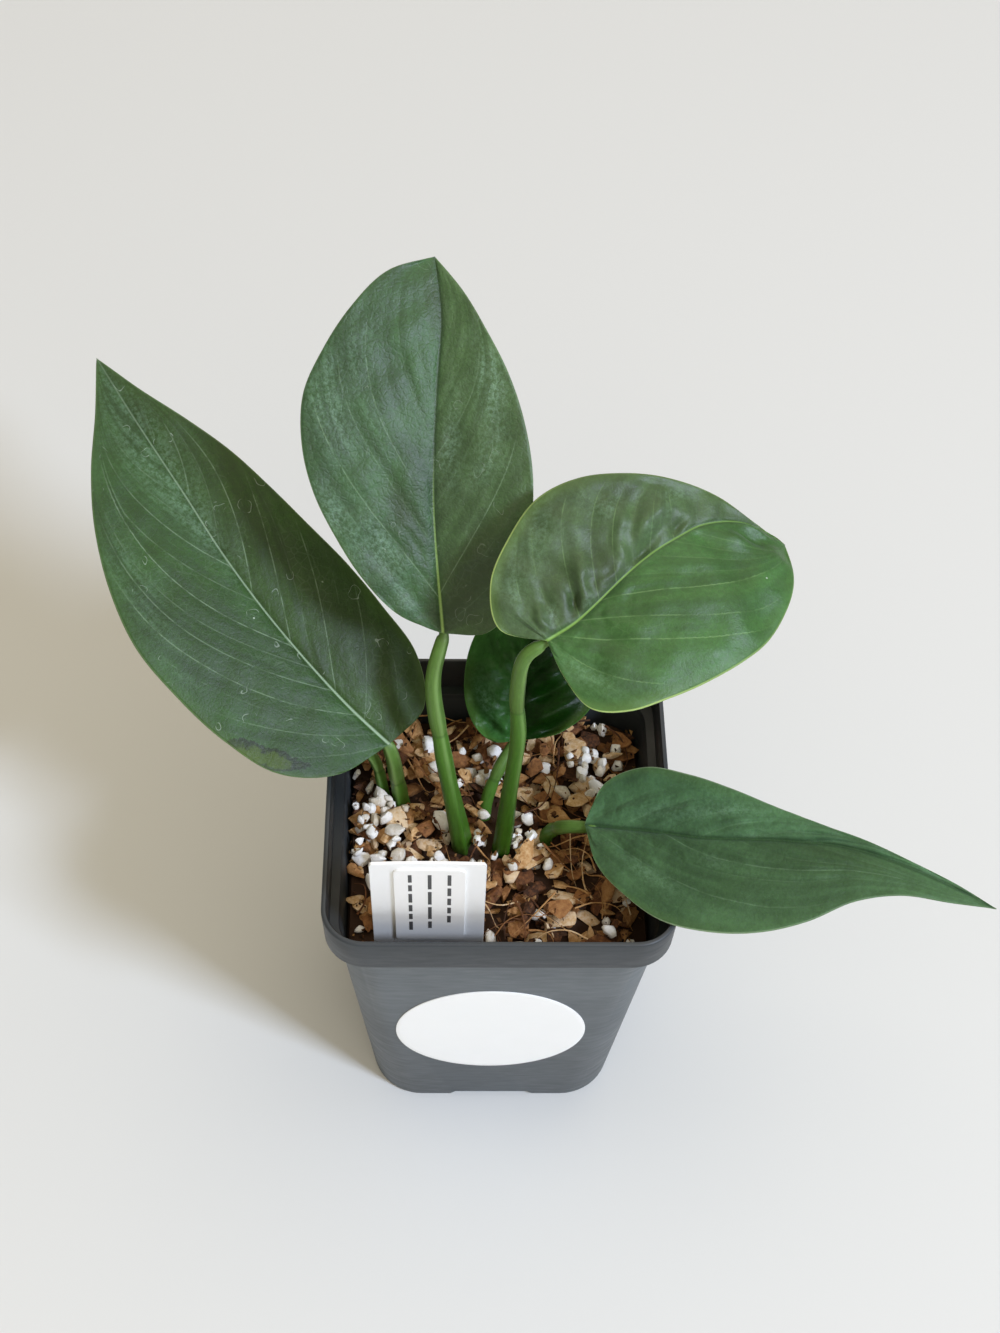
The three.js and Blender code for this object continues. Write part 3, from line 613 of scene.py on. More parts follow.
def place_blade(blade, veins, s, k):
    """Face and back points of a blade on a grid of rows s and columns k, with its measures there."""
    length = blade["length"]
    stray = smooth_path(blade["rib"], RIB_STEPS).T

    def rib(share):
        """How far to the left the midrib lies at a share of the blade's length."""
        return blade["bow"] * np.sin(math.pi * share) + np.interp(share, *stray)

    u_mid = length * np.maximum(0, (s - BASE_FAN) / (1 - BASE_FAN))
    mid = np.stack([u_mid, rib(u_mid / length)], 1)[:, None]
    left = smooth_path(blade["left_edge"], len(s))[:, None]
    right = smooth_path(blade["right_edge"], len(s))[:, None]
    margin = np.where(k[None, :, None] > 0, left, right)
    span = np.abs(k)[None, :, None]
    u, v = np.moveaxis(mid + span * (margin - mid), 2, 0)
    width = np.linalg.norm(margin - mid, axis=2)

    along = np.clip(u / length, 0, 1)
    offset = v - rib(along)
    share = np.abs(offset) / blade["half_width"]
    fold = np.tan(np.radians(np.where(offset > 0, blade["fold_left"], blade["fold_right"])))
    turns = 2 * math.pi * (blade["wave_count"] * u / length + blade["wave_phase"])
    wave = blade["wave"] * np.sin(turns + np.where(offset < 0, RIGHT_WAVE_SHIFT, 0)) * share ** 2
    rows, columns = np.meshgrid(s, k, indexing="ij")
    forward = eased(u, -0.5, 2.5) * (1 - 0.75 * along)
    groove = veins["groove"] * np.exp(-(offset / GROOVE_HALF_WIDTH) ** 2) * forward
    course, show = vein_field(veins, s, k)
    height = np.abs(offset) * fold - blade["recurve"] * share ** 3 + wave
    height += quilting(veins, course, rows, columns, u, v, np.abs(offset))

    half = (RIM_THICKNESS + (THICKNESS - RIM_THICKNESS) * (1 - np.abs(columns) ** 2)) / 2
    keel = KEEL_DEPTH * np.exp(-(offset / KEEL_HALF_WIDTH) ** 2) * forward
    steps = np.linspace(0, 1.1 * length, BEND_STEPS)
    slopes = -np.radians(blade["droop"]) * (steps / length) ** blade["droop_power"]
    run = np.r_[0, np.cumsum(np.cos(slopes[:-1]) * np.diff(steps))]
    fall = np.r_[0, np.cumsum(np.sin(slopes[:-1]) * np.diff(steps))]
    slope = np.interp(u, steps, slopes)
    x0 = np.where(u > 0, np.interp(u, steps, run), u)
    z0 = np.where(u > 0, np.interp(u, steps, fall), 0)

    def lay(lift):
        """The points that lie this far above the sheet's middle, bent and turned into place."""
        tall = height + lift
        local = np.stack([x0 - np.sin(slope) * tall, v, z0 + np.cos(slope) * tall], -1)
        return local @ blade_turn(blade).T + np.array(blade["base"])

    measures = {
        "vein_course": course,
        "vein_gap": vein_gap(course, u, v),
        "vein_show": show,
        "from_midrib": offset,
        "from_margin": (1 - np.abs(columns)) * width,
        "along": along,
        "painted_sheen_shade": patches(veins["painted_sheen_shade"], rows, columns),
        "bruise": patches([BRUISE], rows, columns),
    }
    return lay(half - groove), lay(-half - keel), measures


print("keel", KEEL_DEPTH, "mm deep, sheet", THICKNESS, "mm thick")

# %% [markdown]
# ## The velvet of the leaf
#
# The upper skin of this leaf is covered in tiny domed cells, 0.03 mm across, which catch light at their
# rims: from the front it looks deep green and matt, and at a slant it turns silvery. The shader's sheen
# does just that. Under it lies a waxy skin with a soft gloss. Veins could be painted on an image; here
# they are drawn from the blade's own measures, so they stay sharp at any distance and follow the
# quilting. Over the greens lie patches of painted sheen, which turn the colour silvery where the leaf
# shines, and of painted shade, which darken it mostly where a neighbouring leaf casts its shadow. Both
# are ragged, and stretched along the veins.

# %% Greens of the velvet
VEIN_STEP_MM = 9.0  # the usual distance of two side veins
PATCH_MM = 5.0


def leaf_colours(node, looks, place, measure, side):
    """The greens of a blade's upper skin, mottled by flecks and patches, with painted sheen and shade."""
    cloud = node("TexNoise", {"Vector": place, "Scale": 1 / (18 * MM), "Detail": 4.0, "Roughness": 0.6})
    cloudy = node("MapRange", [cloud, 0.35, 0.65, 0.0, 1.0], **SMOOTH)
    right, left = (node("Mix", {0: cloudy, 6: linear(deep), 7: linear(lit)}, **COLOUR)
                   for deep, lit in (looks["right"], looks["left"]))
    colour = node("Mix", {0: side, 6: right, 7: left}, **COLOUR)

    flecks = node("TexNoise", {
        "Vector": place, "Scale": 1 / (1.1 * MM), "Detail": 5.0, "Roughness": 0.75})
    along_veins = node("CombineXYZ", [node("Math", [measure["vein_course"], VEIN_STEP_MM], **TIMES),
                                      node("Math", [measure["from_midrib"], 0.3], **TIMES)])
    patch = node("TexNoise", {
        "Vector": along_veins, "Scale": 1 / PATCH_MM, "Detail": 3.0, "Distortion": 0.4})
    shade = node("Math", [node("MapRange", [flecks, 0.3, 0.7, 0.86, 1.14], **SMOOTH),
                          node("MapRange", [patch, 0.3, 0.7, 0.86, 1.14], **SMOOTH)], **TIMES)
    colour = node("VectorMath", [colour, shade], **TIMES)

    # painted sheen: positive patches turn the colour silvery towards 8fb09c, grainy with the flecks
    ragged = node("MapRange", [patch, 0.35, 0.65, 0.35, 1.5], **SMOOTH)
    painted_sheen = node("Math", [measure["painted_sheen_shade"], ragged], **TIMES)
    domes = node("MapRange", [flecks, 0.4, 0.62, 0.02, 0.24], **SMOOTH)
    painted_sheen = node("Math", [painted_sheen, domes], **TIMES)
    colour = node("Mix", {0: painted_sheen, 6: colour, 7: linear("8fb09c")}, **COLOUR)
    # painted shade: negative patches darken the colour towards 20350f, mostly a leaf's cast shadow
    dark = node("MapRange", [measure["painted_sheen_shade"], -2.0, -0.1, 0.75, 0.0])
    return node("Mix", {0: dark, 6: colour, 7: linear("20350f")}, **COLOUR), flecks, patch


print("patches of the velvet are about", PATCH_MM, "mm wide")

# %% [markdown]
# Side veins are paler because little green lies over them. Between two of them runs a finer one, and
# between those the finest, each broken here and there, and the smallest join into a net. Sap that has
# dried on the leaf leaves thin pale curls, and dust leaves specks.

# %% Veins and marks
VEIN_RANKS = (  # how many times as many, half the width in mm, the noise from which they show, strength
    (1, 0.1, 0.4, 1.0),
    (2, 0.08, 0.5, 0.3),
    (4, 0.07, 0.55, 0.15))


def leaf_lines(node, looks, place, measure, patch):
    """How strongly the paler lines show at each point: side veins, finer ones, and the net of cells."""
    broken = node("TexNoise", {"Vector": place, "Scale": 1 / (4.5 * MM), "Detail": 4.0})
    strokes = []
    for count, half, low, strength in VEIN_RANKS:
        course = node("Math", [measure["vein_course"], float(count)], **TIMES)
        nearest = node("Math", [course, 0.5], operation="PINGPONG")
        away = node("Math", [nearest, measure["vein_gap"]], **TIMES)
        stroke = node("MapRange", [away, 0.3 * half * count, 2.6 * half * count, 1.0, 0.0], **SMOOTH)
        faint = 0.0 if count > 1 else 0.3
        shown = node("MapRange", [broken, low, low + 0.15, faint, strength], **SMOOTH)
        strokes.append(node("Math", [stroke, shown], **TIMES))
    main = node("Math", [strokes[0], measure["vein_show"]], **TIMES)
    cells = node("TexVoronoi", {"Vector": place, "Scale": 1 / (2.6 * MM)}, feature="DISTANCE_TO_EDGE")
    net = node("MapRange", [cells, 0.0, 0.08, 0.16, 0.0], **SMOOTH)
    net = node("Math", [net, node("MapRange", [patch, 0.4, 0.65, 0.0, 1.0], **SMOOTH)], **TIMES)
    fine = node("Math", [strokes[1], strokes[2]], **LARGER)
    roomy = node("MapRange", [measure["vein_gap"], 3.0, 9.0, 0.0, 1.0], **SMOOTH)
    fine = node("Math", [fine, roomy], **TIMES)
    lines = node("Math", [main, fine], **LARGER)
    lines = node("Math", [lines, net], **LARGER)
    inside = node("MapRange", [measure["from_margin"], 0.5, 6.0, 0.0, looks["vein_show"]], **SMOOTH)
    lines = node("Math", [lines, inside], **TIMES)
    before_tip = node("MapRange", [measure["along"], 0.6, 0.98, 1.0, 0.25], **SMOOTH)
    return node("Math", [lines, before_tip], **TIMES)


def leaf_marks(node, looks, place):
    """How strongly dried curls of sap and white specks show at each point.

    A curl is part of the ring round a cell's middle, bent by a noise. A speck is the middle itself.
    """
    wobble = node("TexNoise", {"Vector": place, "Scale": 1 / (4 * MM), "Detail": 1.0})
    bent = node("VectorMath", [wobble.outputs["Color"], (4 * MM,) * 3, place], operation="MULTIPLY_ADD")
    curl = node("TexVoronoi", {"Vector": bent, "Scale": 1 / (8 * MM)})
    ring = node("Math", [curl, 0.2, 0.01], operation="COMPARE")
    part = node("TexNoise", {"Vector": place, "Scale": 1 / (3.5 * MM), "Detail": 1.0})
    shown = node("MapRange", [part, 0.5, 0.58, 0.0, looks["curls"]], **SMOOTH)
    arc = node("Math", [ring, shown], **TIMES)
    speck = node("TexVoronoi", {"Vector": place, "Scale": 1 / (7 * MM)})
    chosen = node("SeparateColor", [speck.outputs["Color"]])
    dot = node("Math", [node("MapRange", [speck, 0.02, 0.05, 0.8, 0.0], **SMOOTH),
                        node("MapRange", [chosen, 0.9, 0.91, 0.0, 1.0])], **TIMES)
    return node("Math", [arc, dot], **LARGER)


print("ranks of veins:", len(VEIN_RANKS))

# %% [markdown]
# A bruise is tissue whose cells have burst: it looks wet and dark, and yellower where it has begun to
# dry. At the margin the sheet has next to no green cells, so its edge is pale and catches the light.
# Both are drawn from measures of the blade, and a noise makes the bruise's outline ragged.

# %% Bruise and margin
def leaf_bruise(node, place, measure, colour):
    """The colour with a bruise: wet dark tissue round a yellower middle, with a ragged edge."""
    mottle = node("TexNoise", {
        "Vector": place, "Scale": 1 / (2.4 * MM), "Detail": 4.0, "Roughness": 0.6})
    ragged = node("MapRange", [mottle, 0.3, 0.7, 0.5, 1.4])
    spread = node("Math", [measure["bruise"], ragged], **TIMES)
    healed = node("MapRange", [spread, 0.42, 0.75, 0.0, 1.0], **SMOOTH)
    sore = node("Mix", {0: healed, 6: linear("142606"), 7: linear("384e08")}, **COLOUR)
    hurt = node("MapRange", [spread, 0.26, 0.33, 0.0, 0.95], **SMOOTH)
    return node("Mix", {0: hurt, 6: colour, 7: sore}, **COLOUR)


def leaf_edge(node, looks, measure, side, colour):
    """The colour with a yellower band towards the margin, and the pale line of the margin itself."""
    band = node("MapRange", [measure["from_margin"], 0.3, 4.0, looks["band"], 0.0], **SMOOTH)
    near_base = node("MapRange", [measure["along"], 0.15, 0.5, 1.0, 0.25], **SMOOTH)
    band = node("Math", [band, near_base], **TIMES)
    colour = node("Mix", {0: band, 6: colour, 7: linear("6a8b3c")}, **COLOUR)
    rim = node("MapRange", [measure["from_margin"], 0.1, looks["margin_mm"], 1.0, 0.0], **SMOOTH)
    fades_at = node("MapRange", [side, 0.0, 1.0, *looks["margin_ends"]])
    pale = node("MapRange", [measure["along"], -0.1, fades_at, looks["margin_show"], 0.12], **SMOOTH)
    rim = node("Math", [rim, pale], **TIMES)
    return node("Mix", {0: rim, 6: colour, 7: linear(looks["margin"])}, **COLOUR)


print("bruise at row", BRUISE[0], "and column", BRUISE[1])

# %% [markdown]
# Four reliefs too fine for the mesh lie over one another: the domed cells, a net of small cobbles, soft
# swells, and the veins, which are sunk a little. Then all comes together in one surface. The sheen
# silvers it at a slant, the rough gloss under it is the wax, and a little light that goes in and comes
# out again keeps the thin sheet from looking like painted tin.

# %% The whole upper skin
CELL_GRAIN_MM = 0.45  # the domed cells are far finer, and are drawn this coarse so that they show
RIB_HALF_MM = 0.18
LEAF_SCATTER = (0.5, 1.0, 0.2)  # green light travels furthest inside a leaf
MEASURES = ("vein_course", "vein_gap", "vein_show", "from_midrib", "from_margin", "along", "painted_sheen_shade",
            "bruise")


def leaf_skin(node, looks, place, lines):
    """The fine relief of the upper skin: domed cells, a cobbled net, soft swells, and sunken veins."""
    domes = node("TexNoise", {
        "Vector": place, "Scale": 1 / (CELL_GRAIN_MM * MM), "Detail": 3.0, "Roughness": 0.75})
    net = node("TexVoronoi", {"Vector": place, "Scale": 1 / (1.5 * MM)}, feature="DISTANCE_TO_EDGE")
    pebbles = node("MapRange", [net, 0.0, 0.25, 0.0, 1.0], **SMOOTH)
    swells = node("TexNoise", {"Vector": place, "Scale": 1 / (3.2 * MM), "Detail": 3.0})
    relief = None
    for height, strength, deep_mm in ((domes, 0.5, 0.13), (pebbles, looks["pebbles"], 0.12),
                                      (swells, looks["relief"], 0.5), (lines, 0.4, -0.2)):
        below = {} if relief is None else {"Normal": relief}
        relief = node("Bump", {
            "Height": height, "Strength": strength, "Distance": deep_mm * MM, **below})
    return relief


def leaf_material(name, looks):
    """The upper skin of a blade: greens, veins, midrib and margin, under a velvet of domed cells."""
    material, node = new_material(name)
    place = node("TexCoord").outputs["Object"]
    measure = {key: node("Attribute", attribute_name=key).outputs["Fac"] for key in MEASURES}
    off_rib = node("Math", [measure["from_midrib"]], operation="ABSOLUTE")
    side = node("MapRange", [measure["from_midrib"], -1.5, 1.5, 0.0, 1.0], **SMOOTH)
    colour, flecks, patch = leaf_colours(node, looks, place, measure, side)
    lines = leaf_lines(node, looks, place, measure, patch)
    colour = node("Mix", {0: lines, 6: colour, 7: linear(looks["vein"])}, **COLOUR)
    colour = node("Mix", {0: leaf_marks(node, looks, place), 6: colour, 7: linear("b9c9ba")}, **COLOUR)

    # painted shade: the colour darkens towards 193416 in the groove beside the midrib
    crease = node("MapRange", [off_rib, 0.15, looks["crease_shade_mm"], looks["crease"], 0.0], **SMOOTH)
    colour = node("Mix", {0: crease, 6: colour, 7: linear("193416")}, **COLOUR)
    widened = node("MapRange", [measure["along"], 0.0, 0.3, 1.7, 1.0], **SMOOTH)
    off_centre = node("Math", [off_rib, widened], operation="DIVIDE")
    rib_line = node("MapRange", [off_centre, 0.4 * RIB_HALF_MM, 1.9 * RIB_HALF_MM, 1.0, 0.0], **SMOOTH)
    rib_shown = node("MapRange", [measure["along"], *looks["rib_from"], *looks["rib_show"]])
    rib_line = node("Math", [rib_line, rib_shown], **TIMES)
    colour = node("Mix", {0: rib_line, 6: colour, 7: linear(looks["rib"])}, **COLOUR)

    if looks["bruised"]:
        colour = leaf_bruise(node, place, measure, colour)
    colour = leaf_edge(node, looks, measure, side, colour)
    surface = node("BsdfPrincipled", {
        "Base Color": colour, "Roughness": node("MapRange", [flecks, 0.3, 0.7, *looks["roughness"]]),
        "Normal": leaf_skin(node, looks, place, lines), "IOR": 1.45,
        "Specular IOR Level": looks["gloss"], "Subsurface Weight": 0.12,
        "Subsurface Radius": LEAF_SCATTER, "Subsurface Scale": 0.8 * MM,
        "Sheen Weight": looks["sheen"], "Sheen Roughness": 0.5, "Sheen Tint": linear("d5e2de")})
    node("OutputMaterial", [surface])
    return material


print("a leaf's material reads", len(MEASURES), "measures")

# %% [markdown]
# The lower skin has no velvet. It is a plain waxy skin over airy tissue, so it looks paler and greyer
# than the face, with an even satin, and the veins stand out of it. It can't be seen from the front, but a
# part is turned round, so it gets a finish of its own.

# %% Underside material
def underside_material(shades):
    """The lower skin: paler and greyer, with the side veins a little raised and lighter still."""
    material, node = new_material("leaf_underside")
    place = node("TexCoord").outputs["Object"]
    course, gap, show, midrib = (node("Attribute", attribute_name=key).outputs["Fac"]
                                 for key in MEASURES[:4])
    cloud = node("TexNoise", {"Vector": place, "Scale": 1 / (9 * MM), "Detail": 4.0})
    colour = node("Mix", {0: cloud, 6: linear(shades[0]), 7: linear(shades[1])}, **COLOUR)
    away = node("Math", [node("Math", [course, 0.5], operation="PINGPONG"), gap], **TIMES)
    line = node("MapRange", [away, 0.1, 0.6, 0.5, 0.0], **SMOOTH)
    line = node("Math", [line, show], **TIMES)
    rib = node("MapRange", [node("Math", [midrib], operation="ABSOLUTE"), 0.8, 1.8, 0.8, 0.0], **SMOOTH)
    line = node("Math", [line, rib], **LARGER)
    colour = node("Mix", {0: line, 6: colour, 7: linear("8eab6a")}, **COLOUR)
    skin = node("TexNoise", {"Vector": place, "Scale": 1 / (0.6 * MM), "Detail": 3.0})
    grain = node("Bump", {"Height": skin, "Strength": 0.35, "Distance": 0.1 * MM})
    raised = node("Bump", {"Height": line, "Strength": 0.5, "Distance": 0.25 * MM, "Normal": grain})
    surface = node("BsdfPrincipled", {
        "Base Color": colour, "Roughness": 0.55, "Normal": raised, "IOR": 1.42,
        "Subsurface Weight": 0.12, "Subsurface Radius": LEAF_SCATTER, "Subsurface Scale": 0.8 * MM})
    node("OutputMaterial", [surface])
    return material


underside = underside_material(("56764a", "68895a"))
print("underside:", len(underside.node_tree.nodes), "nodes")

# %% [markdown]
# No two leaves of a plant are the same green. The young right one is yellower and has a bright margin,
# the old left one is bluer and dull, and the ones below and behind lie in shade; the back one's greens
# are darkened further as painted shade. Each leaf could have a material of its own, but one recipe with
# a row of values for each keeps them a family.

# %% The six leaves' looks
# left and right: the deep and the lit green of each half, mixed at random by a noise. Part of the
# difference between the halves is painted light: the greyer half of the top and right leaves is
# painted sheen, and the back leaf's near-black right half is painted shade. vein and vein_show: the
# side veins' colour and how clearly it shows. rib, rib_from, rib_show: the midrib's colour, where it
# starts to fade and has faded, and how clearly it shows at both. crease and crease_shade_mm: how dark
# the painted shade in the groove beside the midrib is, and how wide. margin, margin_mm, margin_show,
# margin_ends: the pale margin's colour, width and clearness, and where it has faded, right and left.
# band: how much the blade yellows towards its margin. roughness: its least and greatest, fleck by
# fleck. gloss: the level of the wax's shine. sheen: the velvet's shine at a slant. relief and pebbles:
# how strong the soft swells and the cobbled net are. curls: how clearly dried curls of sap show.
USUAL_LOOK = dict(
    rib_from=(0.0, 1.0), crease_shade_mm=0.8, margin_mm=0.4, margin_show=0.5, margin_ends=(1.5, 1.5),
    roughness=(0.42, 0.56), curls=0.0, bruised=False)
LOOKS = {
    "left": dict(USUAL_LOOK,
        left=("234116", "2b4e1e"), right=("243e12", "2b4916"), vein="a3bda0", vein_show=0.31,
        rib="a9c4a4", rib_from=(0.0, 0.95), rib_show=(0.7, 0.15), crease=0.35, margin="7c9566",
        curls=0.3, bruised=True, band=0.12, gloss=0.42, sheen=0.09, relief=0.25, pebbles=0.2),
    "top": dict(USUAL_LOOK,
        left=("284824", "34592e"), right=("354e28", "425f34"), vein="9ab896", vein_show=0.26,
        rib="8cae5e", rib_from=(0.15, 0.5), rib_show=(0.85, 0.0), crease=0.6, crease_shade_mm=0.6,
        margin="88a471", margin_mm=0.35, margin_show=0.6, margin_ends=(0.5, 0.8), curls=0.15, band=0.1,
        gloss=0.6, sheen=0.2, relief=0.45, pebbles=0.35),
    "right": dict(USUAL_LOOK,
        left=("374c29", "445d37"), right=("335925", "3f6a34"), vein="93b87a", vein_show=0.28,
        rib="7faa4e", rib_show=(0.9, 0.3), crease=0.35, crease_shade_mm=0.9, margin="adc674", margin_mm=0.45,
        margin_show=0.95, margin_ends=(1.1, 0.35), roughness=(0.38, 0.5), band=0.3, gloss=0.45,
        sheen=0.18, relief=0.35, pebbles=0.1),
    "back": dict(USUAL_LOOK,
        # the right half's near-black greens are painted shade: it lies in the right leaf's shadow
        left=("214419", "2f5d28"), right=("061d02", "0c2f07"), vein="3f6338", vein_show=0.15,
        rib="3c6030", rib_show=(0.4, 0.1), crease=0.3, margin="4d7a3c", roughness=(0.26, 0.36),
        band=0.2, gloss=0.15, sheen=0.0, relief=0.5, pebbles=0.1),
    "low": dict(USUAL_LOOK,
        left=("3b5a3b", "4a6f4a"), right=("395636", "466742"), vein="8aab88", vein_show=0.2,
        rib="3a5a34", rib_show=(0.5, 0.2), crease=0.65, crease_shade_mm=0.9, margin="9db38e",
        margin_show=0.75, margin_ends=(0.9, 0.5), band=0.15, gloss=0.2, sheen=0.2, relief=0.4,
        pebbles=0.25),
    "hidden": dict(USUAL_LOOK,
        left=("253f1b", "2f4c22"), right=("263e18", "2e491e"), vein="9bb897", vein_show=0.3,
        rib="8cb062", rib_show=(0.8, 0.4), crease=0.3, margin="7f9c62", curls=0.1, band=0.1, gloss=0.5,
        sheen=0.1, relief=0.4, pebbles=0.2),
}
print("greens:", ", ".join(looks["left"][1] for looks in LOOKS.values()))

# %% [markdown]
# The grid of each blade is fine enough, at three quarters of a millimetre, to carry the puckers. Its
# columns stand closer at the midrib, where the groove is. Every point keeps its measures, and a face
# knows whether it lies on the back, which takes the other skin.

# %% Build the leaves
GRID_MM = 0.75
CROWDING = 1.15  # how much closer the columns stand at the midrib: 1 would be even
LEAF_RIM = 0.12


def build_leaf(name):
    """One blade as a closed thin solid, with its upper skin and its underside."""
    blade, veins = BLADES[name], VEINS[name]
    rows = int(blade["length"] / (1 - BASE_FAN) / GRID_MM)
    columns = 2 * int(blade["half_width"] / GRID_MM) + 1
    s = np.linspace(0, 1, rows)
    k = np.linspace(-1, 1, columns)
    k = np.sign(k) * np.abs(k) ** CROWDING
    face, back, measures = place_blade(blade, veins, s, k)
    points, faces, on_back, loop = thin_solid(face, back, LEAF_RIM)
    spread = {key: np.r_[m.ravel(), m.ravel(), m.ravel()[loop]] for key, m in measures.items()}
    skins = [leaf_material(f"velvet_leaf_{name}", LOOKS[name]), underside]
    make_piece(f"blade_{name}", points, faces, skins, f"leaf_{name}", spread, on_back)


for name in BLADES:
    build_leaf(name)

# %% [markdown]
# ## The stalks
#
# Each blade stands on a petiole, a round juicy stalk with a shallow channel up its upper side. Its last
# third is a joint of paler tissue, with which the plant turns the blade to the light, and a fine ring
# marks where that joint begins. Near the soil the channel's two edges open into a sheath. A plain curve
# with a bevel would be round all the way, so the stalks are built as rings along their path instead. The
# same two helpers, for the rings and for the faces between them, later serve the husk fibres as well.

# %% Paths of the stalks
# path: up from the buried stem. radii: at its two ends. joint: the share of the way at which the paler
# joint begins. channel: the compass heading that the channel faces.
STALKS = {
    "left": dict(
        path=[(-25.2, 9.7, 76.2), (-25.8, 11, 88), (-26.8, 11.7, 97), (-27.6, 12.1, 104)],
        radii=(2.3, 1.6), joint=0.55, channel=-60),
    "top": dict(
        path=[(-9.4, 1, 76.2), (-9.8, -3, 88), (-11.4, -0.8, 99), (-14.8, 6.4, 118), (-17, 14, 135.2)],
        radii=(2.6, 1.6), joint=0.62, channel=-20),
    "right": dict(
        path=[(0.8, -0.2, 76.2), (1.2, -4.2, 88), (2.4, -3.1, 107), (4.2, -0.5, 132), (3.5, 1.2, 147),
              (5.2, 2.7, 160)],
        radii=(2.5, 1.6), joint=0.72, channel=-15),
    "back": dict(
        path=[(-3.8, 4.6, 76), (-2.4, 10.5, 88), (0.6, 15, 95)],
        radii=(1.8, 1.4), joint=0.6, channel=90),
    "low": dict(
        path=[(11.6, -1, 76.6), (13.6, -0.9, 88), (17.4, -4.6, 97)],
        radii=(2, 1.5), joint=0.6, channel=90),
    "hidden": dict(
        path=[(-30.4, 12.4, 76), (-30.6, 13.5, 88), (-32.4, 14.6, 99)],
        radii=(1.6, 1.3), joint=0.6, channel=-60),
}
BLADE_SOCKET = (-0.9, 0, -1.7)  # where a stalk meets its blade, in the blade's own frame
STALK_TIP = [(1.2, 0, -1.3), (3.2, 0, -1.1)]  # how it runs on under the midrib
STALK_SIDES = 28
STALK_STEP_MM = 0.8


def tube(path, radius, sides, start):
    """Rings of points round a path. radius is a function of the share of the way and of the angle."""
    path = np.asarray(path, float)
    tangent = np.gradient(path, axis=0)
    tangent /= np.linalg.norm(tangent, axis=1, keepdims=True)
    side = np.array(start, float)
    angles = np.linspace(0, 2 * math.pi, sides, endpoint=False)
    rings = []
    for i, (centre, forward) in enumerate(zip(path, tangent)):
        side = side - forward * (side @ forward)
        side /= np.linalg.norm(side)
        other = np.cross(forward, side)
        r = radius(i / (len(path) - 1), angles)[:, None]
        rings.append(centre + r * (np.cos(angles)[:, None] * side + np.sin(angles)[:, None] * other))
    return np.array(rings)


def tube_faces(rows, sides):
    """Quads round a tube, and the two end caps."""
    index = np.arange(rows * sides).reshape(rows, sides)
    nearby = np.roll(index, -1, axis=1)
    quads = np.stack([index[:-1], nearby[:-1], nearby[1:], index[1:]], -1).reshape(-1, 4).tolist()
    return quads + [index[0, ::-1].tolist(), index[-1].tolist()]


print("faces round a tube of 2 rings with", STALK_SIDES, "sides:", len(tube_faces(2, STALK_SIDES)))

# %% [markdown]
# A petiole is full of sap under a thin waxy skin. Light goes a little way in and comes out yellower, and
# the skin shines in long soft streaks, because its cells are drawn out lengthwise. The streaks are a
# noise stretched along the stalk, laid on it by the angle round it and the way along it.

# %% Living stalk material
def stalk_material():
    """The skin of a petiole: glossy, streaked along its length, darker green below its joint."""
    material, node = new_material("living_stalk")
    place = node("TexCoord").outputs["Object"]
    joint, angle, edge = (node("Attribute", attribute_name=key).outputs["Fac"]
                          for key in ("past_joint", "around", "channel_edge"))
    rising = node("MapRange", [joint, -42.0, -4.0, 0.0, 1.0])
    lower = node("Mix", {0: rising, 6: linear("345b11"), 7: linear("4a7427")}, **COLOUR)
    above = node("MapRange", [joint, -0.5, 1.0, 0.0, 1.0], **SMOOTH)
    colour = node("Mix", {0: above, 6: lower, 7: linear("567834")}, **COLOUR)
    unrolled = node("CombineXYZ", [angle, 0.0, joint])
    stretched = node("VectorMath", [unrolled, (2.2, 1.0, 0.08)], **TIMES)
    streaks = node("TexNoise", {"Vector": stretched, "Scale": 3.0, "Detail": 4.0})
    specks = node("TexNoise", {"Vector": place, "Scale": 1 / (1.1 * MM), "Detail": 4.0, "Roughness": 0.7})
    shade = node("Math", [node("MapRange", [streaks, 0.3, 0.7, 0.84, 1.16]),
                          node("MapRange", [specks, 0.3, 0.7, 0.92, 1.08])], **TIMES)
    colour = node("VectorMath", [colour, shade], **TIMES)
    colour = node("Mix", {0: edge, 6: colour, 7: linear("9bb873")}, **COLOUR)
    off_joint = node("Math", [joint], operation="ABSOLUTE")
    ring = node("MapRange", [off_joint, 0.1, 0.6, 0.4, 0.0], **SMOOTH)
    colour = node("Mix", {0: ring, 6: colour, 7: linear("36521f")}, **COLOUR)
    skin = node("TexNoise", {"Vector": place, "Scale": 1 / (0.6 * MM), "Detail": 3.0})
    bump = node("Bump", {"Height": skin, "Strength": 0.3, "Distance": 0.1 * MM})
    surface = node("BsdfPrincipled", {
        "Base Color": colour, "Roughness": node("MapRange", [streaks, 0.3, 0.7, 0.36, 0.5]),
        "Normal": bump, "IOR": 1.42, "Subsurface Weight": 0.2, "Subsurface Radius": (0.6, 1.0, 0.25),
        "Subsurface Scale": 1.2 * MM})
    node("OutputMaterial", [surface])
    return material


living_stalk = stalk_material()
print("stalk skin:", len(living_stalk.node_tree.nodes), "nodes")

# %% [markdown]
# A stalk's radius depends on the way along it and on the angle round it: the channel takes some away on
# one side, the sheath adds to the channel's edges near the foot, the joint swells above its ring, and the
# end tapers into the blade. The buried stem can't be seen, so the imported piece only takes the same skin.

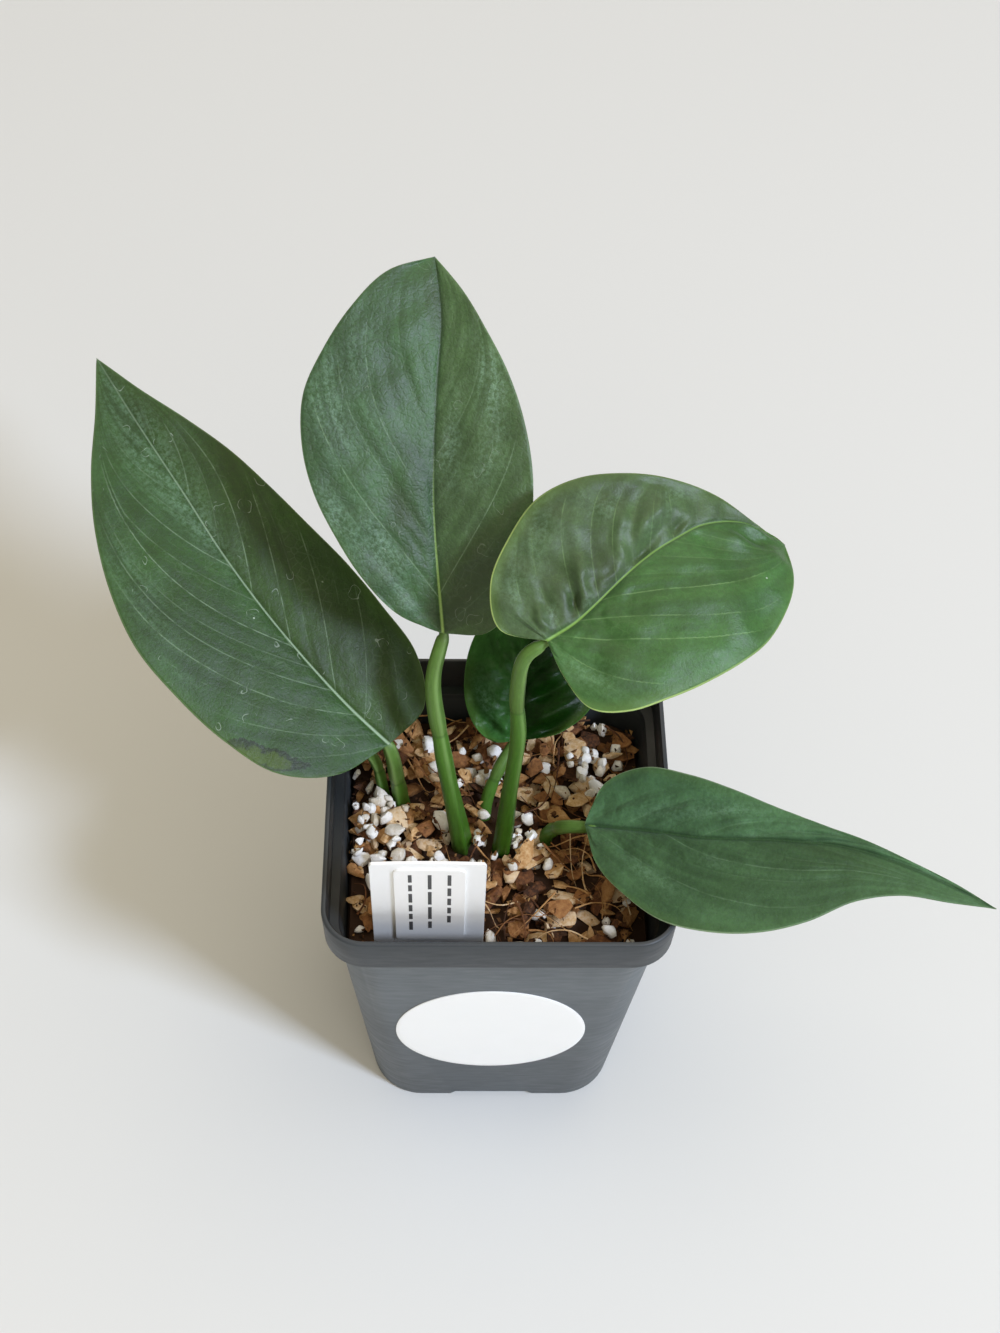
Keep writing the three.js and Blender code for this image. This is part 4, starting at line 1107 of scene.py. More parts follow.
# %% Build the stalks
def build_stalk(name):
    """One petiole, from the buried stem to under its blade, with channel, sheath and joint."""
    stalk, blade = STALKS[name], BLADES[name]
    turn = blade_turn(blade)
    socket = np.array(blade["base"]) + turn @ np.array(BLADE_SOCKET)
    knots = [*stalk["path"], tuple(socket)]
    length = np.linalg.norm(np.diff(np.array(knots), axis=0), axis=1).sum()
    rows = int(length / STALK_STEP_MM)
    path = smooth_path(knots, rows, spread=0.5, even=True)
    tip = np.array(blade["base"]) + np.array(STALK_TIP) @ turn.T
    path = np.vstack([path, tip])
    rows = len(path)
    low, high = stalk["radii"]
    joint = stalk["joint"]

    def channel(angle, width=0.55):
        """1 in the channel, and 0 away from it."""
        return np.exp(-((angle - math.pi) / width) ** 2)

    def edges(angle):
        """1 on the two edges of the channel."""
        return np.exp(-((np.abs(angle - math.pi) - 0.75) / 0.28) ** 2)

    def radius(share, angle):
        """The radius at a share of the way up, for each angle round."""
        plain = low + (high - low) * share
        swell = 0.12 * eased(share, joint - 0.005, joint + 0.06) * (1 - eased(share, 0.9, 1.0))
        bulge = 0.08 * math.exp(-((share - joint + 0.1) / 0.06) ** 2)
        ring = -0.05 * math.exp(-((share - joint) * length / 0.5) ** 2)
        sheath = 0.3 * (1 - eased(share, 0.15, 0.45)) + 0.07
        taper = 1 - 0.55 * eased(share, 0.96, 1.0)
        shape = 1 + swell + bulge + ring + sheath * edges(angle) - 0.12 * channel(angle)
        return plain * shape * taper

    heading = math.radians(stalk["channel"])
    rings = tube(path, radius, STALK_SIDES, (-math.cos(heading), -math.sin(heading), 0))
    share = np.linspace(0, 1, rows)[:, None] * np.ones(STALK_SIDES)
    angle = np.linspace(0, 2 * math.pi, STALK_SIDES, endpoint=False)[None] * np.ones((rows, 1))
    measures = {
        "past_joint": ((share - joint) * length).ravel(),
        "around": np.abs(angle - math.pi).ravel(),
        "channel_edge": (0.35 * edges(angle) * eased(share, 0.25, 0.6)).ravel(),
    }
    faces = tube_faces(rows, STALK_SIDES)
    make_piece(f"stalk_{name}", rings.reshape(-1, 3), faces, [living_stalk],
               f"petiole_{name}", measures)


for name in STALKS:
    build_stalk(name)
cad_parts["stem"].data.materials.clear()
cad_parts["stem"].data.materials.append(living_stalk)

# %% [markdown]
# ## The pot
#
# The pot is injection-moulded polypropylene, 1.2 mm thick, dark grey more than black. It has a stepped
# band round its rim, rounded corners that widen towards the foot, and two crossing channels under the
# floor that leave four feet. A box with a bevel can't narrow its corners on the way up, so the outside is
# lofted from square rings with round corners. The hollow is a loft of its own, ready to be cut out.

# %% Loft the pot and its hollow
pot_high = np.array(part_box("pot")[1]) / MM
POT_HEIGHT = pot_high[2]
RIM_HALF = pot_high[0]
RIM_BAND = 12.6
RIM_WALL = 1.5
BODY_TOP_HALF = 41.4
BASE_HALF = 34.0
WALL = 1.2
FLOOR_TOP = 3.9
CORNER_BASE = 14.4
CORNER_TOP = 10.8
CORNER_STEPS = 12
LIP_RADIUS = 0.7
CHANNEL_HALF = 12.5
CHANNEL_HEIGHT = 2.5
CHANNEL_FLARE = 2.2
PAD_RADIUS = 7
DRAIN_RADIUS = 3.5
DRAIN_OFFSET = 18
LEDGE = POT_HEIGHT - RIM_BAND


def square_ring(z, half, corner):
    """A level square outline with round corners."""
    points = []
    for quarter, (sx, sy) in enumerate([(1, 1), (-1, 1), (-1, -1), (1, -1)]):
        for i in range(CORNER_STEPS + 1):
            angle = (quarter + i / CORNER_STEPS) * math.pi / 2
            x = sx * (half - corner) + corner * math.cos(angle)
            y = sy * (half - corner) + corner * math.sin(angle)
            points.append((x, y, z))
    return points


def body_ring(z, inset):
    """The pot's tapered body at a height, drawn in by an inset."""
    share = z / LEDGE
    half = BASE_HALF + (BODY_TOP_HALF - BASE_HALF) * share - inset
    return square_ring(z, half, CORNER_BASE + (CORNER_TOP - CORNER_BASE) * share - inset)


def loft(name, rings):
    """A closed object in metres through rings of equal count."""
    rows, sides = len(rings), len(rings[0])
    mesh = bpy.data.meshes.new(name)
    points = np.array(rings).reshape(-1, 3) * MM
    mesh.from_pydata(points.tolist(), [], tube_faces(rows, sides))
    solid = bpy.data.objects.new(name, mesh)
    scene.collection.objects.link(solid)
    return solid


def rounded(z, half, corner, radius, steps=5):
    """Rings over a moulded edge, from its outer side up to its top."""
    rings = []
    for angle in np.radians(np.linspace(0, 90, steps)):
        inset = radius * (1 - math.cos(angle))
        rings.append(square_ring(z + radius * math.sin(angle), half - inset, corner - inset))
    return rings


outside = loft("pot_outside", [
    body_ring(0, 0.9), body_ring(0.25, 0.4), body_ring(0.9, 0.0), body_ring(LEDGE * 0.5, 0.0),
    body_ring(LEDGE - 0.5, 0.0),
    square_ring(LEDGE - 0.1, BODY_TOP_HALF + 0.2, CORNER_TOP),
    square_ring(LEDGE + 0.05, BODY_TOP_HALF + 1.0, CORNER_TOP),
    square_ring(LEDGE + 0.3, RIM_HALF - 1.1, CORNER_TOP),
    square_ring(LEDGE + 0.5, RIM_HALF - 0.65, CORNER_TOP),
    square_ring(LEDGE + 1.1, RIM_HALF - 0.4, CORNER_TOP),
    *rounded(POT_HEIGHT - LIP_RADIUS, RIM_HALF, CORNER_TOP, LIP_RADIUS),
])
shoulder = LEDGE + WALL
inside = loft("pot_inside", [
    body_ring(FLOOR_TOP, WALL + 1.5), body_ring(FLOOR_TOP + 0.45, WALL + 0.45),
    body_ring(FLOOR_TOP + 1.5, WALL), body_ring(shoulder - 0.4, WALL),
    body_ring(shoulder + 0.1, WALL - 0.3),
    square_ring(shoulder + 0.7, RIM_HALF - RIM_WALL - 0.2, CORNER_TOP - RIM_WALL),
    square_ring(POT_HEIGHT - 0.6, RIM_HALF - RIM_WALL, CORNER_TOP - RIM_WALL),
    square_ring(POT_HEIGHT + 0.2, RIM_HALF - RIM_WALL + 0.5, CORNER_TOP - RIM_WALL + 0.5),
])
print("pot:", round(2 * RIM_HALF, 1), "mm across its rim,", round(POT_HEIGHT, 1), "mm high")

# %% [markdown]
# In the mould a steel core leaves the hollow, and ribs and pins leave the channels and the drain holes.
# Booleans do the same here: each core is built as a solid and taken away from the pot.

# %% Cut channels and drains
def prism(name, outline, half_length):
    """A closed prism along Y from an outline of x and z in millimetres."""
    ends = [[(x, y, z) for x, z in outline] for y in (half_length, -half_length)]
    return loft(name, ends)


def upright(name, radii, bottom, top, x=0.0, y=0.0, sides=32):
    """A closed round peg, with a radius at its bottom and one at its top."""
    turn = np.linspace(0, 2 * math.pi, sides, endpoint=False)
    return loft(name, [[(x + r * math.cos(a), y + r * math.sin(a), z) for a in turn]
                       for r, z in zip(radii, (bottom, top))])


def cut(target, tool, operation="DIFFERENCE"):
    """A boolean between two objects, applied at once. The tool is removed."""
    step = target.modifiers.new("cut", "BOOLEAN")
    step.object = tool
    step.operation = operation
    step.solver = "EXACT"
    done = bpy.data.meshes.new_from_object(target.evaluated_get(bpy.context.evaluated_depsgraph_get()))
    target.modifiers.clear()
    target.data = done
    bpy.data.objects.remove(tool)


PAST = 10  # how far a core reaches past the pot
arch = [(-CHANNEL_HALF, -1), (CHANNEL_HALF, -1), (CHANNEL_HALF, 0),
        (CHANNEL_HALF - CHANNEL_FLARE, CHANNEL_HEIGHT), (CHANNEL_FLARE - CHANNEL_HALF, CHANNEL_HEIGHT),
        (-CHANNEL_HALF, 0)]
channels = prism("channel_x", arch, BASE_HALF + PAST)
crossing = prism("channel_y", arch, BASE_HALF + PAST)
crossing.data.transform(Matrix.Rotation(math.pi / 2, 4, "Z"))
cut(channels, crossing, "UNION")
cut(channels, upright("pad", (PAD_RADIUS - 1, PAD_RADIUS + 1), -CHANNEL_HEIGHT - 1, CHANNEL_HEIGHT + 1))
cut(outside, inside)
cut(outside, channels)
for i in range(4):
    x, y = DRAIN_OFFSET * math.cos(i * math.pi / 2), DRAIN_OFFSET * math.sin(i * math.pi / 2)
    cut(outside, upright("drain", (DRAIN_RADIUS, DRAIN_RADIUS), -PAST, PAST, x, y, 24))
print("pot cut out:", len(outside.data.polygons), "faces")

# %% [markdown]
# Polypropylene leaves the mould with a fine satin, from the mould's spark-eroded steel. Handling adds
# scuffs that shine a little more. A greyish veil lies on the outside, partly dust and partly painted
# light: it grows up the body as a painted reflection of the bright floor, and is faint on the rim band as
# painted shade. The inside takes a skin of its own wherever a face looks towards the middle: a darker
# grey with a fainter veil, as painted shade in the hollow.

# %% Polypropylene of the pot
def polypropylene(name, shades, veil_strength):
    """Dark grey moulded plastic with a satin skin, under a grey veil of dust and painted light."""
    material, node = new_material(name)
    place = node("TexCoord").outputs["Object"]
    height = node("SeparateXYZ", [place]).outputs["Z"]
    # partly dust, partly painted light: a painted reflection rising up the body, painted shade on the rim
    rising = node("MapRange", [height, 0.02, (LEDGE - 2) * MM, 0.5 * veil_strength, 0.85 * veil_strength], **SMOOTH)
    below_rim = node("MapRange", [height, (LEDGE - 0.5) * MM, (LEDGE + 0.5) * MM, 1.0, 0.12])
    cloud = node("TexNoise", {"Vector": place, "Scale": 1 / (18 * MM), "Detail": 4.0})
    cloudy = node("MapRange", [cloud, 0.3, 0.7, 0.8, 1.1])
    veil = node("Math", [node("Math", [rising, below_rim], **TIMES), cloudy], **TIMES)
    colour = node("Mix", {0: veil, 6: linear(shades[0]), 7: linear(shades[1])}, **COLOUR)
    stretched = node("VectorMath", [place, (1.0, 1.0, 6.0)], **TIMES)
    scuff = node("TexNoise", {"Vector": stretched, "Scale": 1 / (7 * MM), "Detail": 5.0})
    spark = node("TexNoise", {"Vector": place, "Scale": 1 / (0.4 * MM), "Detail": 2.0})
    bump = node("Bump", {"Height": spark, "Strength": 0.25, "Distance": 0.06 * MM})
    surface = node("BsdfPrincipled", {
        "Base Color": colour, "Roughness": node("MapRange", [scuff, 0.3, 0.7, 0.4, 0.55]), "IOR": 1.49,
        "Normal": bump})
    node("OutputMaterial", [surface])
    return material


# the inner skin's darker grey is painted shade in the pot's hollow
skins = [polypropylene("moulded_polypropylene", ("2c3033", "666d71"), 1.0),
         polypropylene("inner_polypropylene_painted_shade", ("1d2022", "3a3f42"), 0.5)]
turned_inwards = [int(face.normal.x * face.center.x + face.normal.y * face.center.y < -1e-4)
                  for face in outside.data.polygons]
print("faces that look inwards:", sum(turned_inwards))
outside.name = outside.data.name = "nursery_pot"
outside.data.materials.clear()
for skin in skins:
    outside.data.materials.append(skin)
outside.data.polygons.foreach_set("material_index", turned_inwards)
outside.data.shade_smooth()
outside.data.set_sharp_from_angle(angle=math.radians(32))
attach(outside, "root")
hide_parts("pot")

# %% [markdown]
# ## The potting mix
#
# The mix is chunky: chips of coconut husk and bark, 4 to 13 mm long, white perlite, stray husk fibres and
# a little fine crumb between. A bump on a flat disc would show at once in the rim's shadow, so the top
# layer is real grains. A physics drop could settle them. Here each grain in turn is set down on the
# highest point under it, in a map of heights that grows as it fills, which takes a second and looks as
# settled.

# %% Shapes of the grains
MIX_BED = 83.0  # the height of the bed under the grains
MIX_HALF = 39.4  # half the width of the hollow where they lie
MIX_CORNER = 9.0  # the radius of its corners there
grain_random = random.Random(21)


def hull(points, cuts=0, rough=0.0):
    """Points and triangles of the convex hull of some points, with its faces split and roughened."""
    shape = bmesh.new()
    for p in points:
        shape.verts.new(p)
    made = bmesh.ops.convex_hull(shape, input=shape.verts)
    spare = [v for v in made["geom_interior"] if isinstance(v, bmesh.types.BMVert)]
    bmesh.ops.delete(shape, geom=spare, context="VERTS")
    if cuts:
        bmesh.ops.subdivide_edges(shape, edges=shape.edges, cuts=cuts, use_grid_fill=True)
        bmesh.ops.smooth_vert(shape, verts=shape.verts, factor=0.35, use_axis_x=True, use_axis_y=True,
                              use_axis_z=True)
    bmesh.ops.triangulate(shape, faces=shape.faces)
    shape.verts.index_update()
    for v in shape.verts:
        v.co *= 1 + rough * (grain_random.random() - 0.5)
    points = np.array([v.co for v in shape.verts])
    faces = np.array([[v.index for v in f.verts] for f in shape.faces])
    shape.free()
    return points, faces


def bark_shape():
    """A splinter of bark, longest along x and thinnest along z."""
    corners = [(grain_random.uniform(-1, 1), grain_random.uniform(-1, 1), grain_random.uniform(-1, 1))
               for _ in range(11)]
    return hull(corners, cuts=1, rough=0.12)


def perlite_shape():
    """A puffed crumb of perlite, rounder than bark and lumpy."""
    corners = [Vector([grain_random.gauss(0, 1) for _ in range(3)]).normalized()
               * grain_random.uniform(0.8, 1.1) for _ in range(20)]
    return hull(corners, cuts=1, rough=0.1)


def crumb_shape():
    """A plain small crumb."""
    return hull([[grain_random.uniform(-1, 1) for _ in range(3)] for _ in range(8)])


bark_shapes = [bark_shape() for _ in range(14)]
perlite_shapes = [perlite_shape() for _ in range(9)]
crumb_shapes = [crumb_shape() for _ in range(8)]
print("a bark chip has", len(bark_shapes[0][1]), "triangles, perlite", len(perlite_shapes[0][1]))

# %% [markdown]
# A grain is let down at a random place, unless it would cut into the wall, a stalk or the tag. It comes
# to rest near the highest point of the map under it, and raises the map there by its own dome. Perlite
# is lighter than bark and gathers where water floats it, so most of it falls near a few spots.

# %% Make room for the grains
HEIGHT_CELL = 0.8  # the step of the map of heights
MAP_HALF = 41  # how far the map reaches from the middle
MIX_TOP = 88  # the height at which the stalks leave the mix
cells = int(2 * MAP_HALF / HEIGHT_CELL)
grid_x, grid_y = np.meshgrid(*(np.linspace(-MAP_HALF, MAP_HALF, cells),) * 2, indexing="ij")
heights = np.full((cells, cells), MIX_BED)
stalk_feet = []
for stalk in STALKS.values():
    path_x, path_y, path_z = zip(*stalk["path"])
    stalk_feet.append((np.interp(MIX_TOP, path_z, path_x), np.interp(MIX_TOP, path_z, path_y),
                       stalk["radii"][0]))
TAG_FOOT = dict(left=-32.0, right=-3.6, front=-35.0, back=-31.2)
PERLITE_SPOTS = [(-33, -3, 8), (-33, 2, 8), (-31, 9, 6), (-25, -13, 5), (-3, 22, 7), (6, -4, 4),
                 (24, 20, 6)]  # x, y and spread


def in_pot(x, y, margin):
    """Whether a point lies inside the pot's rounded square, this far from its wall."""
    half = MIX_HALF - margin
    over = max(abs(x) - half + MIX_CORNER, 0), max(abs(y) - half + MIX_CORNER, 0)
    return math.hypot(*over) < MIX_CORNER and max(abs(x), abs(y)) < half


def is_free(x, y, radius):
    """Whether a grain there stays clear of the stalks and the tag."""
    if any(math.hypot(x - fx, y - fy) < r + 0.75 * radius for fx, fy, r in stalk_feet):
        return False
    beside = TAG_FOOT["left"] - radius < x < TAG_FOOT["right"] + radius
    return not (beside and TAG_FOOT["front"] - radius < y < TAG_FOOT["back"] + radius)


print("room for grains:", sum(in_pot(x, y, 1) and is_free(x, y, 1) for x, y in
                              zip(grid_x.ravel(), grid_y.ravel())), "of", heights.size, "height cells")

# %% [markdown]
# Each grain is one of the shapes above, stretched, tilted and set down, so a few shapes make many. It
# also keeps its own unturned points, moved to a part of space of its own: the noise in its material reads
# those, so that the marks turn with the grain and no two are marked alike.

# %% Set down one grain after another
TILT = 0.28  # how steeply grains lie, as the spread of their tilt in radians
OWN_STEP = 20  # how far a grain's marks are moved for its tint


def pour(shapes, count, sizes, flatness, spot_share=0.0, top=90.0):
    """Grains set down one by one: their points, faces, tints and each one's own unturned points.

    sizes: the least and greatest length. flatness: the same for thickness, as a share of the length.
    spot_share: how many fall near the perlite's spots. top: no grain may reach higher.
    """
    points, faces, tints, own = [], [], [], []
    total = 0
    for _ in range(count):
        long = (sizes[0] + (sizes[1] - sizes[0]) * grain_random.random() ** 1.6) / 2
        wide = long * grain_random.uniform(0.5, 0.8)
        thick = long * grain_random.uniform(*flatness)
        if grain_random.random() < spot_share:
            cx, cy, spread = grain_random.choice(PERLITE_SPOTS)
            x, y = cx + grain_random.gauss(0, spread / 2), cy + grain_random.gauss(0, spread / 2)
        else:
            x, y = (grain_random.uniform(-MIX_HALF, MIX_HALF) for _ in range(2))
        tint = grain_random.random()
        turn = Matrix.Rotation(grain_random.uniform(0, 2 * math.pi), 3, "Z")
        turn = turn @ Matrix.Rotation(grain_random.gauss(0, TILT), 3, "Y")
        turn = turn @ Matrix.Rotation(grain_random.gauss(0, TILT), 3, "X")
        shape, triangles = shapes[grain_random.randrange(len(shapes))]
        if not in_pot(x, y, 0.7 * long) or not is_free(x, y, wide):
            continue
        away = np.hypot(grid_x - x, grid_y - y)
        under = away < max(wide, HEIGHT_CELL)
        rest = np.percentile(heights[under], 75) + 0.45 * thick
        if rest + thick > top:
            continue
        dome = rest + 0.7 * thick * (1 - (away[under] / wide) ** 2)
        heights[under] = np.maximum(heights[under], dome)
        grain = shape * (long, wide, thick)
        points.append(grain @ np.array(turn).T + (x, y, rest))
        faces.append(triangles + total)
        tints.append(np.full(len(shape), tint))
        own.append(grain + OWN_STEP * tint)
        total += len(shape)
    return np.vstack(points), np.vstack(faces), np.concatenate(tints), np.vstack(own)


print("grains lie tilted by about", round(math.degrees(TILT)), "degrees")

# %% [markdown]
# The chips are cut from the husk of a coconut, so single fibres of it always stay in the mix. A fibre is
# let fall like a grain: four points along it rest on the map of heights, and a thin tube joins them.

# %% Strew the fibres
FIBRE_SIDES = 5
FIBRE_ROWS = 12
FIBRE_CLEAR = 1.5  # how far fibres stay from the wall, the stalks and the tag
FIBRE_RESTS = (-0.5, -0.2, 0.15, 0.5)  # where along its length a fibre lies on the grains
FIBRE_START = (0.1, 0.2, 1)  # the side on which its rings begin, almost straight up


def strew(count, lengths, radii, top):
    """Loose fibres that lie bent across the grains, in the same four lists."""
    points, faces, tints, own = [], [], [], []
    for _ in range(count):
        long = grain_random.uniform(*lengths)
        x, y = (grain_random.uniform(-MIX_HALF, MIX_HALF) for _ in range(2))
        heading = grain_random.uniform(0, 2 * math.pi)
        bend = grain_random.gauss(0, 0.5)
        tint = grain_random.random()
        thick = grain_random.uniform(*radii)
        knots = []
        for step in FIBRE_RESTS:
            angle = heading + bend * step
            px, py = x + step * long * math.cos(angle), y + step * long * math.sin(angle)
            near = np.hypot(grid_x - px, grid_y - py) < 2 * HEIGHT_CELL
            ground = heights[near].max() if near.any() else MIX_BED
            knots.append((px, py, ground + 0.2 + grain_random.random()))
        clear = all(in_pot(px, py, FIBRE_CLEAR) and is_free(px, py, FIBRE_CLEAR) and z < top
                    for px, py, z in knots)
        if not clear:
            continue

        def radius(share, angle):
            """The fibre thins towards its end."""
            return np.full(len(angle), thick * (1.2 - share))

        rings = tube(smooth_path(knots, FIBRE_ROWS), radius, FIBRE_SIDES, FIBRE_START)
        quads = [face for face in tube_faces(len(rings), FIBRE_SIDES) if len(face) == 4]
        triangles = [[q[0], q[1], q[2]] for q in quads] + [[q[0], q[2], q[3]] for q in quads]
        faces.append(np.array(triangles) + sum(len(p) for p in points))
        points.append(rings.reshape(-1, 3))
        tints.append(np.full(len(points[-1]), tint))
        own.append(points[-1] + OWN_STEP * tint)
    return np.vstack(points), np.vstack(faces), np.concatenate(tints), np.vstack(own)


print("fibres have", FIBRE_SIDES, "sides")

# %% [markdown]
# Husk and bark are torn plant cork: layered, brown outside and tan where they broke, dry and without
# gloss. Perlite is volcanic glass puffed like popcorn, so it is bright white and full of pinholes. Damp
# grains are darker. One recipe serves all: a grain's tint picks its shade from a ramp, and a noise in the
# grain's own place shifts it, so no two grains look alike.

# %% Bark, perlite and crumb materials
def grain_material(name, shades, grain_mm, roughness, pit_mm):
    """A dry grain: its tint picks one of the shades, and fibres or pits run through it."""
    material, node = new_material(name)
    tint = node("Attribute", attribute_name="tint").outputs["Fac"]
    own = node("Attribute", attribute_name="own_place").outputs["Vector"]
    fibre = node("TexNoise", {"Vector": own, "Scale": 1 / grain_mm, "Detail": 5.0, "Roughness": 0.65})
    shifted = node("MapRange", [fibre, 0.3, 0.7, -0.16, 0.16])
    pick = node("Math", [tint, shifted], operation="ADD", use_clamp=True)
    colours = node("ValToRGB", [pick])
    band = colours.color_ramp
    while len(band.elements) < len(shades):
        band.elements.new(0.5)
    for element, (position, colour) in zip(band.elements, shades):
        element.position = position
        element.color = linear(colour)
    bump = node("Bump", {"Height": fibre, "Strength": 0.7, "Distance": pit_mm * MM})
    surface = node("BsdfPrincipled", {
        "Base Color": colours, "Roughness": roughness, "Normal": bump, "IOR": 1.4})
    node("OutputMaterial", [surface])
    return material


bark = grain_material("coconut_husk_and_bark", [
    (0.0, "3a2314"), (0.2, "6a4226"), (0.45, "96673c"), (0.7, "b48855"), (0.85, "cda878"),
    (1.0, "dcc3a0")], grain_mm=1.1, roughness=0.85, pit_mm=0.4)
perlite = grain_material("puffed_perlite", [
    (0.0, "c4b79f"), (0.2, "dcd5c8"), (0.5, "ece9e3"), (1.0, "f7f6f3")],
    grain_mm=0.9, roughness=0.8, pit_mm=0.3)
crumb = grain_material("fine_crumb", [
    (0.0, "24160c"), (0.4, "50331d"), (0.8, "7d5733"), (1.0, "a8834f")],
    grain_mm=0.8, roughness=0.9, pit_mm=0.3)
print("grain finishes:", ", ".join(finish.name for finish in (bark, perlite, crumb)))

# %% [markdown]
# The mix is filled in as by hand: a lower layer of large chips with some perlite, an upper one of smaller
# chips, then perlite, fine crumb and at last the stray fibres. Each layer is one mesh of many grains,
# which is far lighter on the computer than an object for each.

# %% Build the mix
GRAIN_CREASE = 38  # the angle in degrees from which a grain's edge shows as sharp


def build_grains(name, material, poured):
    """One piece of many grains."""
    points, faces, tints, own = poured
    mesh = bpy.data.meshes.new(name)
    mesh.from_pydata((points * MM).tolist(), [], faces.tolist())
    mesh.attributes.new("tint", "FLOAT", "POINT").data.foreach_set("value", tints.astype(np.float32))
    place = mesh.attributes.new("own_place", "FLOAT_VECTOR", "POINT")
    place.data.foreach_set("vector", own.astype(np.float32).ravel())
    mesh.materials.append(material)
    mesh.shade_smooth()
    mesh.set_sharp_from_angle(angle=math.radians(GRAIN_CREASE))
    piece = bpy.data.objects.new(name, mesh)
    scene.collection.objects.link(piece)
    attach(piece, "root")
    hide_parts("potting_mix")
    print(f"{name}: {len(faces)} triangles, up to {points[:, 2].max():.1f} mm")


build_grains("mix_bark_under", bark, pour(bark_shapes, 320, (6, 13), (0.3, 0.5), top=88))
build_grains("mix_perlite_under", perlite, pour(perlite_shapes, 110, (4, 8), (0.7, 0.9), 0.4, top=89))
build_grains("mix_bark", bark, pour(bark_shapes, 360, (5, 12), (0.28, 0.5), top=90.5))
build_grains("mix_perlite", perlite, pour(perlite_shapes, 200, (3, 7.5), (0.7, 0.95), 0.65, top=92))
build_grains("mix_crumb", crumb, pour(crumb_shapes, 900, (1.0, 2.4), (0.5, 0.8), top=91))
build_grains("mix_fibre", bark, strew(170, (8, 22), (0.12, 0.3), 91))

# %% [markdown]
# Below the grains lies a solid bed, which shows only as darkness between them and through the drain
# holes: it takes the darkest crumb colour, as painted shade in those gaps. It follows the pot's own
# rings, drawn in by a little more than the wall.

# %% The bed under the grains
GAP_SHADE_TINT = 0.12  # dark: painted shade in the gaps between the grains
bed_rings = [body_ring(FLOOR_TOP + 0.3, WALL + 1.8), body_ring(FLOOR_TOP + 1.8, WALL + 0.3),
             body_ring(MIX_BED - 2, WALL + 0.3), body_ring(MIX_BED, WALL + 1.2)]
bed_points = np.array(bed_rings).reshape(-1, 3)
bed_faces = tube_faces(len(bed_rings), len(bed_rings[0]))
make_piece("mix_bed", bed_points, bed_faces, [crumb], "potting_mix",
           {"tint": np.full(len(bed_points), GAP_SHADE_TINT)}, crease=30)

# %% [markdown]
# ## Tag, label and sticker
#
# The tag is a strip of white vinyl, 0.7 mm thick, curled a little across from being cut off a roll. Its
# label and the round sticker are coated paper. The label is printed with three rows of plain dashes, and
# the sticker is bare.

# %% Curled cards
TAG_WIDTH = 27.5
TAG_LENGTH = 76
TAG_THICKNESS = 0.7
TAG_POINT = 16  # how long its pointed foot is, and the share of the width that is left at its end
TAG_POINT_SHARE = 0.12
TAG_CURL = 0.3
TAG_LEAN = math.radians(8)
TAG_TOP = np.array([-17.8, -39.8, 136])
LABEL_WIDTH = 17
LABEL_LENGTH = 43
LABEL_THICKNESS = 0.3
LABEL_DROP = 2.6
LABEL_SHIFT = 0.4
SEAT_GAP = 0.3
LABEL_FRONT = TAG_THICKNESS / 2 + SEAT_GAP


def on_tag(x, drop, front):
    """Points this far across, down and in front of the tag's middle line, as the tag stands."""
    x, drop, front = np.broadcast_arrays(x, drop, front)
    local = np.stack([x, -front - TAG_CURL * (2 * x / TAG_WIDTH) ** 2, -drop], -1)
    lean = np.array(Matrix.Rotation(TAG_LEAN, 3, "X"))
    return local @ lean.T + TAG_TOP


def card_grid(width, length, corner, point=0.0, columns=28, rows=70):
    """Across and down places on a card with round corners, or a point at its lower end."""
    drop = np.linspace(0, length, rows)[:, None]
    near_end = np.clip(corner - np.minimum(drop, length - drop if not point else corner), 0, corner)
    half = width / 2 - (corner - np.sqrt(np.maximum(corner ** 2 - near_end ** 2, 0)))
    if point:
        half = half * np.minimum(1, TAG_POINT_SHARE + (1 - TAG_POINT_SHARE) * (length - drop) / point)
    return np.linspace(-1, 1, columns)[None] * half, drop


print("the tag's top stands", TAG_TOP[2], "mm above the table")

# %% [markdown]
# The tag is rigid vinyl, pressed smooth between rollers: white all through, with a soft wide gleam and a
# faint glow at its edge where light passes the thin sheet. The papers are coated with clay, which makes
# them smooth and even, with a little less gleam and no glow. Printing ink lies on the coating as a thin
# matt film. The three differ in gloss more than in colour, and that is what tells them apart.

# %% Vinyl, paper and ink
def sheet_material(name, colour, shade, roughness, fibre_mm, subsurface):
    """A pale sheet with faint clouding, for vinyl and coated paper."""
    material, node = new_material(name)
    place = node("TexCoord").outputs["Object"]
    cloud = node("TexNoise", {"Vector": place, "Scale": 1 / (9 * MM), "Detail": 3.0})
    tint = node("Mix", {0: cloud, 6: linear(colour), 7: linear(shade)}, **COLOUR)
    fibre = node("TexNoise", {"Vector": place, "Scale": 1 / (fibre_mm * MM), "Detail": 3.0})
    bump = node("Bump", {"Height": fibre, "Strength": 0.15, "Distance": 0.05 * MM})
    satin = node("MapRange", [fibre, 0.0, 1.0, roughness - 0.06, roughness + 0.06])
    surface = node("BsdfPrincipled", {
        "Base Color": tint, "Roughness": satin, "Normal": bump, "IOR": 1.5,
        "Subsurface Weight": subsurface, "Subsurface Radius": (1.0, 1.0, 1.0),
        "Subsurface Scale": 0.6 * MM})
    node("OutputMaterial", [surface])
    return material


